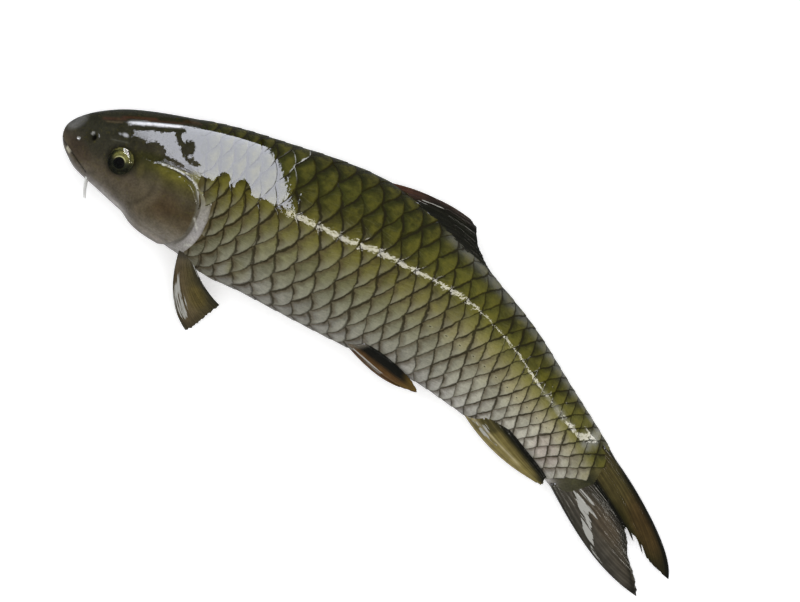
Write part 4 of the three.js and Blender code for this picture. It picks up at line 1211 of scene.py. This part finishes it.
def pectoral_paint(u, v, s, n):
    """Olive brown, dark grey at the root in painted shade, pale along the first and last rays: painted glints
    on the first, a pale ray on the last.
    """
    paint = graded(u, [(0, "#3c3628"), (0.12, "#574b37"), (0.4, "#5f5439"), (0.7, "#50482d"),
                       (0.9, "#3b3726"), (1, "#2b2920")])
    paint = layered(paint, (0.4 * spot(u, v, (0.62, 0.66), (0.25, 0.18)), "#655726"),
                    (0.6 * smooth((v - 0.8) / 0.2), "#302d1e"),
                    (0.6 * smooth((0.3 - v) / 0.25), "#6e6656"),
                    # darkest at the root, painted shade
                    (0.8 * smooth((0.17 - v) / 0.1), "#3a372f"))
    # painted glints along the first rays, and the pale last ray
    pale = (0.66 * spot(u, v, (0.12, 0.62), (0.14, 0.26)) + 0.5 * streak(u, v, (0.2, 0.1), (0.16, 0.5), 0.03)
            + 0.9 * streak(u, v, (0.96, -0.05), (0.98, 0.42), 0.03)
            + 0.6 * streak(u, v, (1, 0.42), (1, 0.62), 0.03))
    return paint, pale


def pelvic_paint(u, v, s, n):
    """Brown in front and nearly black behind, yellower towards the edge."""
    paint = graded(u, [(0, "#6e563f"), (0.14, "#5f4527"), (0.36, "#4d371c"), (0.5, "#2a2113"),
                       (0.6, "#15140e"), (1, "#10110c")])
    paint = layered(paint, (0.8 * smooth((v - 0.72) / 0.25), "#6b5526"),
                    # paler at the base, painted highlight
                    (0.7 * smooth((0.12 - v) / 0.1), "#6f6a5e"))
    return paint, 0.95 * streak(u, v, (0.1, 0.02), (0.08, 0.66), 0.06)


def tail_paint(u, v, s, n):
    """The upper lobe olive brown, the lower one grey with pale streaks of painted sheen and reflection, and a
    dark crease between them in painted shadow.
    """
    upper = smooth((n - 3) / 2.5)
    paint = layered(
        # both lobes darken towards the crease at n of about 3, painted shadow
        graded(n, [(-22, "#35332c"), (-16, "#454139"), (-8, "#464035"), (0, "#37332b"), (3, "#1b1b15")]),
        (upper, graded(n, [(3, "#17170f"), (6, "#29260f"), (9, "#40381b"), (15, "#42381c"), (19, "#2c2816"),
                           (21.4, "#1b1b14")])),
        (0.55 * upper * spot(s, n, (388, 13), (22, 8)), "#51492a"),
        (0.45 * upper * spot(s, n, (426, 13.5), (20, 6), -8), "#4b3720"),
        (0.6 * spot(s, n, (412, -6), (14, 5)), "#54493a"),
        # the crease between the lobes, painted shadow
        (0.9 * streak(s, n, (380, 4.6), (423, 3.4), 1.5), "#12120d"),
        (0.8 * streak(s, n, (418, 2), (460, -15), 1.4), "#22211b"),
        (0.7 * smooth((s - 436) / 20) * upper, "#1e1d13"),
        (0.7 * smooth((s - 446) / 10) * (1 - upper), "#1b1a16"),
        (smooth((0.09 - u) / 0.08) * smooth((s - 384) / 12), "#15150e"),
        (0.5 * streak(s, n, (372, -20.5), (415, -22.5), 1.0), "#26241c"),
    )
    # pale streaks on the lower lobe are painted sheen and reflections; the streak along the top edge is a
    # painted reflection and the spot at the root a painted glint
    pale = (0.66 * spot(s, n, (390, -6.4), (10, 1.1), 7)
            + 0.6 * spot(s, n, (397, -9), (13, 1.1), 8)
            + 0.46 * spot(s, n, (395, -11.4), (13, 1.8), -6)
            + 0.78 * spot(s, n, (403.5, -14.6), (15, 2.6), -17)
            + 0.4 * spot(s, n, (414, -17.9), (10, 1.4), -10)
            + 0.66 * spot(s, n, (430, -19.8), (14, 0.9), 4)
            + 0.4 * spot(s, n, (394, -1.8), (12, 1.6), 3)
            + 0.75 * streak(s, n, (374, 22.4), (391, 21.2), 1.6)
            + 0.66 * spot(s, n, (381, 0.6), (4.5, 1.5)))
    return paint, pale


def build_fins():
    """All seven fins, each by the bases, the bows and the tips of its rays as (s, n, z)."""
    material = fin_material()
    pieces = [
        build_fin("dorsal_fin",
                  [(184, 48.2, mid(184)), (204, 46, on_flank(204, 46, -2.8)),
                   (222, 42, on_flank(222, 42, -2.8)), (240, 39, on_flank(240, 38.5, -2.4))],
                  [(208, 57.6, mid(208)), (216, 53, mid(214, 3)), (229, 47, mid(229, 5)),
                   (247, 41, mid(246, 4))],
                  [(231, 57, mid(230)), (236.8, 54.6, mid(236, 1)), (241, 48.4, mid(241, 2)),
                   (247, 44.4, mid(247, 2)), (253, 41.2, mid(253, 2)), (261, 38.6, mid(261, 1))],
                  2, 9, material, dorsal_paint, pleat=0.6, fold=0.5, relief=0.3, ragged=0.03, seed=2),
        build_fin("anal_fin",
                  [(302, -30, mid(302)), (311, -27.6, on_flank(311, -27, -1)),
                   (315, -22.2, on_flank(315, -22.2, -0.6)), (323, -19.2, on_flank(323, -19.2, -0.4)),
                   (334, -17.6, on_flank(334, -17.6, -0.2))],
                  [(334, -36.8, mid(326, 1)), (335, -30, mid(333, 4)), (339, -20.6, on_flank(339, -19.6, 2)),
                   (350, -16.6, on_flank(350, -16.6, 2))],
                  [(365, -25, mid(362, 2)), (369, -23, mid(369, 4)), (368, -21.2, mid(368, 6)),
                   (367, -18.4, mid(366, 8))],
                  1.8, 8, material, anal_paint, pleat=0.3, fold=0.3, relief=0.25, ragged=0.03, seed=3),
        build_fin("left_pectoral_fin",
                  [(90.8, -35, 38), (92.2, -35.4, 38.6), (94.2, -35.8, 38.6), (96, -36, 38)],
                  [(92, -69, 27), (100, -63, 28.5), (105, -59.5, 29), (110.5, -55, 30)],
                  [(112.8, -82.4, 9), (118.4, -73.4, 11), (121.8, -66.6, 13), (125.2, -60, 15)],
                  1.8, 13, material, pectoral_paint, pleat=0.5, fold=0.9, relief=0.3, ragged=0.025, seed=4),
        build_fin("right_pectoral_fin",
                  [(91, -34, 16), (93, -32, 14), (95, -29, 12), (96, -26, 10)],
                  [(112, -42, 9), (112, -38, 6), (112, -34, 4), (112, -29, 3)],
                  [(139, -42.5, 5), (137, -37.6, 3), (132, -33, 2), (125, -29, 1.4)],
                  1.4, 12, material, pectoral_paint, pleat=0.1, relief=0.3, ragged=0.03, seed=5),
        build_fin("tail_fin",
                  [(372, 21, mid(372)), (378, 9, mid(376, -1)), (378, -6, mid(378, -1)),
                   (371, -19, mid(371))],
                  [(446, 22.4, mid(430, 4)), (418, 12, mid(418, 2)), (402, 4, mid(400, -2)),
                   (412, -7, mid(412, 1)), (425, -28.4, mid(420, 3))],
                  [(460.6, 8.6, mid(460, 3)), (452, 6.2, mid(452, 2)), (441, 4.2, mid(441, 1)),
                   (429, 3.2, mid(429)), (420.4, 3, mid(421, -1)), (427.6, 0.4, mid(427)),
                   (435, -4, mid(435, 1)), (448, -7.4, mid(446, 2)), (460, -12.4, mid(460, 2))],
                  4.2, 22, material, tail_paint, pleat=0.14, fold=0.3, relief=0.07, ragged=0.02,
                  frayed=(0.2, 0.47, 0.2), seed=6),
    ]
    for name, side, reach, seed in (("left_pelvic_fin", 1, 0, 7), ("right_pelvic_fin", -1, 4, 8)):
        pieces.append(build_fin(
            name,
            [(214 - 1.5 * reach, -45.4, mid(214, side * 9)), (219, -43.4, mid(219, side * 12)),
             (223, -40, mid(223, side * 15))],
            [(241, -51 - reach, mid(240, side * 8)), (242, -45, mid(242, side * 13)),
             (246, -38, mid(246, side * 16))],
            [(262, -46.4 - reach / 5, mid(262, side * 2)), (273, -42.6, mid(274, side * 2)),
             (266, -40.4, mid(268, side * 5))],
            1.6, 8, material, pelvic_paint, pleat=0.25, fold=0.2, relief=0.2, ragged=0.04, seed=seed))
    return pieces


# ---- eyes and barbels ------------------------------------------------------------------------

DOME_RINGS, DOME_SPOKES = 30, 64
DOME_BACK = 0.6                 # how far a dome's closed back lies behind its rim
BARBEL_RINGS, BARBEL_SIDES = 33, 12


def skin_frame(side, s, n):
    """A point on one flank's skin and its directions along, across and out of it."""
    def at(a, b):
        """The skin's point at s = a and n = b."""
        _, across, half = girth_table(a)
        return place(a, b, middle_height(a) + side * np.interp(-b, -across, half))

    along = at(s + 1, n) - at(s - 1, n)
    across = at(s, n + 1) - at(s, n - 1)
    out = side * np.cross(along, across)
    out, along = out / np.linalg.norm(out), along / np.linalg.norm(along)
    return at(s, n), along, side * np.cross(out, along), out


def lay_dome(name, side, radius, profile, material):
    """A round dome on the head, closed behind. The profile gives its height at a share of its radius."""
    point, along, across, out = skin_frame(side, EYE["s"], EYE["n"])
    share = (np.arange(1, DOME_RINGS + 1) / DOME_RINGS)[:, None]
    turn = (2 * np.pi * np.arange(DOME_SPOKES) / DOME_SPOKES)[None, :]
    x, y = share * np.cos(turn), share * np.sin(turn)
    height = profile(share) + 0 * turn
    offset = (x[..., None] * along + y[..., None] * across) * radius + height[..., None] * out
    points = np.vstack([(point + offset * MM).reshape(-1, 3), [point + out * float(profile(0.0)) * MM],
                        [point + out * (float(profile(1.0)) - DOME_BACK) * MM]])
    uv = np.vstack([np.stack([x, y], -1).reshape(-1, 2), [(0, 0)], [(0, 0)]])
    piece = new_piece(name, points, capped_faces(DOME_RINGS, DOME_SPOKES), uv=uv)
    turn_outwards(piece)
    return finish_piece(piece, material)


def build_eyes(settings):
    """Both eyeballs with their irises, and the clear corneas over them."""
    iris, clear = iris_material(settings), cornea_material()
    pieces = []
    for name, side in (("left", 1), ("right", -1)):
        pieces.append(lay_dome(f"{name}_eye", side, EYE["iris"], lambda r: 0.9 - 2.2 * r ** 4, iris))
        pieces.append(lay_dome(f"{name}_cornea", side, EYE["cornea"], lambda r: 1.7 - 1.62 * r ** 4, clear))
    return pieces


def build_barbels():
    """Thin threads that hang from the corners of the mouth."""
    material = barbel_material()
    s, n = MOUTH_CORNER
    pieces = []
    for name, side in (("left", 1), ("right", -1)):
        height = mid(s, side * 7)
        line = curve_through([(s + 0.4, n + 0.8, height - 2), (s + 0.8, n - 2.5, height - 1),
                              (s + 2, n - 8, height - 1.5), (s + 4, n - 13.8, height - 4)])
        share = np.linspace(0, 1, BARBEL_RINGS)
        centre = line(share)
        centre = place(centre[:, 0], centre[:, 1], centre[:, 2])
        along = np.gradient(centre, axis=0)
        along /= np.linalg.norm(along, axis=1, keepdims=True)
        across = np.cross((0, 0, 1), along)
        across /= np.linalg.norm(across, axis=1, keepdims=True)
        up = np.cross(along, across)
        turn = 2 * np.pi * np.arange(BARBEL_SIDES) / BARBEL_SIDES
        radius = (BARBEL[0] + (BARBEL[1] - BARBEL[0]) * share) * MM
        ring = across[:, None] * np.cos(turn)[None, :, None] + up[:, None] * np.sin(turn)[None, :, None]
        points = (centre[:, None] + ring * radius[:, None, None]).reshape(-1, 3)
        points = np.vstack([points, centre[:1], centre[-1:] + along[-1:] * radius[-1]])
        piece = new_piece(f"{name}_barbel", points, capped_faces(BARBEL_RINGS, BARBEL_SIDES))
        turn_outwards(piece)
        pieces.append(finish_piece(piece, material))
    return pieces


# ---- stage -----------------------------------------------------------------------------------

ROLL = math.radians(35.4)       # the camera's turn against the frame's length
AIM = (-2.5, 12.6, 20)          # the point that it looks straight down on
VIEW_WIDTH = 480                # the width of its view there
CAMERA_DISTANCE = 3000
SENSOR_WIDTH = 36
FLOOR_HALF = 3.0                # half the floor's side, in metres
ROOM_STRENGTH = 0.2
CEILING = {"size": 2.4, "energy": 43}   # metres and watts
CEILING_PLACE = (0, 0.2, 1.9)   # in metres
WINDOW_STRENGTH, LAMP_STRENGTH, TAIL_LAMP_STRENGTH = 18, 20, 19

# where the lights stand that the wet fish mirrors, in metres: two edges of the window, from the
# top down, and (x, y, half width) along each strip
GLOW_HEIGHT = 1.5
WINDOW = (((-0.85, 0.2, 1.5), (-1.62, 1.84, 0)), ((-0.21, 0.16, 1.5), (-0.83, 1.84, 0)))
LAMP_STRIP = [(-0.215, 0.127, 0.03), (-0.13, 0.128, 0.033), (0.017, 0.139, 0.035), (0.1, 0.19, 0.034),
              (0.164, 0.239, 0.034), (0.25, 0.29, 0.034), (0.335, 0.35, 0.034), (0.42, 0.42, 0.035),
              (0.55, 0.54, 0.036), (0.68, 0.67, 0.032), (0.75, 0.79, 0.034), (0.87, 0.83, 0.032),
              (0.945, 0.77, 0.028), (1, 0.73, 0.024), (1.035, 0.68, 0.02), (1.06, 0.617, 0.02),
              (1.05, 0.54, 0.02), (1.045, 0.47, 0.02)]
TAIL_LAMP = [(1.06, 0.33, 0.015), (1.1, 0.42, 0.018), (1.17, 0.58, 0.02), (1.26, 0.8, 0.03),
             (1.5, 1.25, 0.05)]


def build_floor():
    """A matt white board, faintly uneven and a little lit from within, that the fish doesn't mirror."""
    material, tree = blank_material("bright_white_board")
    where = add(tree, "ShaderNodeTexCoord", out="Object")
    grain = add(tree, "ShaderNodeTexNoise", {"Vector": where, "Scale": 1 / (40 * MM), "Detail": 3})
    base = add(tree, "ShaderNodeMix", {0: grain, 6: "#f4f4f4", 7: "#efefef"}, out=2, data_type="RGBA")
    shader = add(tree, "ShaderNodeBsdfPrincipled", {
        "Base Color": base,
        "Roughness": 0.8,
        "Specular IOR Level": 0.0,
        "Emission Color": "#ffffff",
        "Emission Strength": 0.45,
    })
    add(tree, "ShaderNodeOutputMaterial", [shader])
    corners = [(x * FLOOR_HALF, y * FLOOR_HALF, 0) for x, y in ((-1, -1), (1, -1), (1, 1), (-1, 1))]
    floor = new_piece("floor", corners, [(0, 1, 2, 3)], smooth_faces=False)
    floor.data.materials.append(material)
    floor.visible_glossy = False


def mirrored_glow(name, left, right, brightness, tint="#f0f3ff"):
    """A glowing sheet between two edges, in metres, which only the wet surfaces mirror."""
    material, tree = blank_material(name + "_glow")
    glow = add(tree, "ShaderNodeEmission", {"Color": tint, "Strength": brightness})
    add(tree, "ShaderNodeOutputMaterial", [glow])
    points = [p for pair in zip(left, right) for p in pair]
    faces = [(i, i + 1, i + 3, i + 2) for i in range(0, len(points) - 2, 2)]
    sheet = new_piece(name, points, faces, smooth_faces=False)
    sheet.data.materials.append(material)
    sheet.visible_camera = sheet.visible_diffuse = sheet.visible_shadow = False


def glow_strip(name, course, brightness):
    """A level strip of light along a course of (x, y, half width), in metres."""
    x, y, half = np.array(course, float).T
    along = np.stack([np.gradient(x), np.gradient(y)], -1)
    along /= np.linalg.norm(along, axis=1, keepdims=True)
    across = np.stack([-along[:, 1], along[:, 0]], -1) * half[:, None]
    middle = np.stack([x, y], -1)
    edges = [[(*point, GLOW_HEIGHT) for point in middle + sign * across] for sign in (1, -1)]
    mirrored_glow(name, *edges, brightness, "#fffbf0")


def build_stage():
    """The floor, the pale room, the camera, the sheets that the wet fish mirrors and the ceiling light."""
    build_floor()
    scene = bpy.context.scene
    world = bpy.data.worlds.new("pale_room")
    world.use_nodes = True
    background = world.node_tree.nodes["Background"]
    background.inputs["Color"].default_value = colour("#e6e8ec")
    background.inputs["Strength"].default_value = ROOM_STRENGTH
    scene.world = world
    scene.view_settings.view_transform = "Standard"

    data = bpy.data.cameras.new("overhead_camera")
    data.sensor_width = SENSOR_WIDTH
    data.lens = SENSOR_WIDTH * CAMERA_DISTANCE / VIEW_WIDTH
    data.clip_end = 20
    camera = bpy.data.objects.new("overhead_camera", data)
    scene.collection.objects.link(camera)
    camera.location = Vector((AIM[0], AIM[1], AIM[2] + CAMERA_DISTANCE)) * MM
    camera.rotation_euler = (0, 0, ROLL)
    scene.camera = camera

    # the tall window that the wet shoulder mirrors, and the lamps that the flank and the tail do
    mirrored_glow("window", *WINDOW, WINDOW_STRENGTH)
    glow_strip("lamp_strip", LAMP_STRIP, LAMP_STRENGTH)
    glow_strip("tail_lamp", TAIL_LAMP, TAIL_LAMP_STRENGTH)
    light = bpy.data.lights.new("ceiling", "AREA")
    for key, value in CEILING.items():
        setattr(light, key, value)
    ceiling = bpy.data.objects.new("ceiling", light)
    scene.collection.objects.link(ceiling)
    ceiling.location = CEILING_PLACE
    ceiling.visible_camera = ceiling.visible_glossy = False


# ---- add-on ----------------------------------------------------------------------------------


class FishSettings(bpy.types.PropertyGroup):
    """What a user may change about the fish."""

    scale_lift: FloatProperty(
        name="Scale lift", default=0.4, min=0.1, max=1.2,
        description="Height in millimetres that a scale gains from its root to its tip")
    scale_unevenness: FloatProperty(
        name="Scale unevenness", default=0.032, min=0, max=0.2,
        description="How far each scale strays from its even place, as a share of the spacing")
    seed: IntProperty(name="Seed", default=11, min=0, description="Seed of the scales' random strays")
    film_ripple: FloatProperty(
        name="Film ripple", default=0.4, min=0, max=1,
        description="How strongly the film of water is rippled")
    back_colour: FloatVectorProperty(
        name="Back", subtype="COLOR", size=4, min=0, max=1, default=colour("#303113"),
        description="Colour of the scales along the back")
    flank_colour: FloatVectorProperty(
        name="Flank", subtype="COLOR", size=4, min=0, max=1, default=colour("#646038"),
        description="Colour of the scales along the side line")
    belly_colour: FloatVectorProperty(
        name="Belly", subtype="COLOR", size=4, min=0, max=1, default=colour("#96948e"),
        description="Colour of the scales along the belly")
    # this colour covers both the dark pigment on the scales' rims and the painted shade in the grooves ahead
    # of them
    pigment_and_shade_colour: FloatVectorProperty(
        name="Scale outline", subtype="COLOR", size=4, min=0, max=1, default=colour("#231f10"),
        description="Colour of the dark pigment round each scale")
    iris_colour: FloatVectorProperty(
        name="Iris", subtype="COLOR", size=4, min=0, max=1, default=colour("#5f5c2e"),
        description="Colour of the iris above the pupil")


class FISH_OT_skin(bpy.types.Operator):
    """Adds the body's skin with the head's features"""

    bl_idname = "fish.skin"
    bl_label = "Skin"

    def execute(self, context):
        build_skin()
        return {"FINISHED"}


class FISH_OT_scales(bpy.types.Operator):
    """Lays the scales on the body"""

    bl_idname = "fish.scales"
    bl_label = "Scales"

    def execute(self, context):
        build_scales(context.scene.fish)
        return {"FINISHED"}


class FISH_OT_fins(bpy.types.Operator):
    """Adds the seven fins"""

    bl_idname = "fish.fins"
    bl_label = "Fins"

    def execute(self, context):
        build_fins()
        return {"FINISHED"}


class FISH_OT_eyes(bpy.types.Operator):
    """Adds the eyes and their clear corneas"""

    bl_idname = "fish.eyes"
    bl_label = "Eyes"

    def execute(self, context):
        build_eyes(context.scene.fish)
        return {"FINISHED"}


class FISH_OT_barbels(bpy.types.Operator):
    """Adds the barbels"""

    bl_idname = "fish.barbels"
    bl_label = "Barbels"

    def execute(self, context):
        build_barbels()
        return {"FINISHED"}


class FISH_OT_stage(bpy.types.Operator):
    """Adds the floor, the light and the camera"""

    bl_idname = "fish.stage"
    bl_label = "Stage"

    def execute(self, context):
        build_stage()
        return {"FINISHED"}


OPERATORS = (FISH_OT_skin, FISH_OT_scales, FISH_OT_fins, FISH_OT_eyes, FISH_OT_barbels, FISH_OT_stage)


class FISH_PT_panel(bpy.types.Panel):
    """The fish's pieces, in the 3D view's sidebar"""

    bl_label = "Fish"
    bl_space_type = "VIEW_3D"
    bl_region_type = "UI"
    bl_category = "Fish"

    def draw(self, context):
        """Lists the settings, then a button for each piece."""
        for name in FishSettings.__annotations__:
            self.layout.prop(context.scene.fish, name)
        for operator in OPERATORS:
            self.layout.operator(operator.bl_idname)


CLASSES = (FishSettings, *OPERATORS, FISH_PT_panel)


def register():
    """Adds the classes and the scene's settings."""
    for each in CLASSES:
        bpy.utils.register_class(each)
    bpy.types.Scene.fish = PointerProperty(type=FishSettings)


def unregister():
    """Takes the settings and the classes away again."""
    del bpy.types.Scene.fish
    for each in reversed(CLASSES):
        bpy.utils.unregister_class(each)


def main():
    """Registers the add-on, then builds every piece in order."""
    register()
    for piece in ("skin", "scales", "fins", "eyes", "barbels", "stage"):
        getattr(bpy.ops.fish, piece)()


if __name__ == "__main__":
    main()
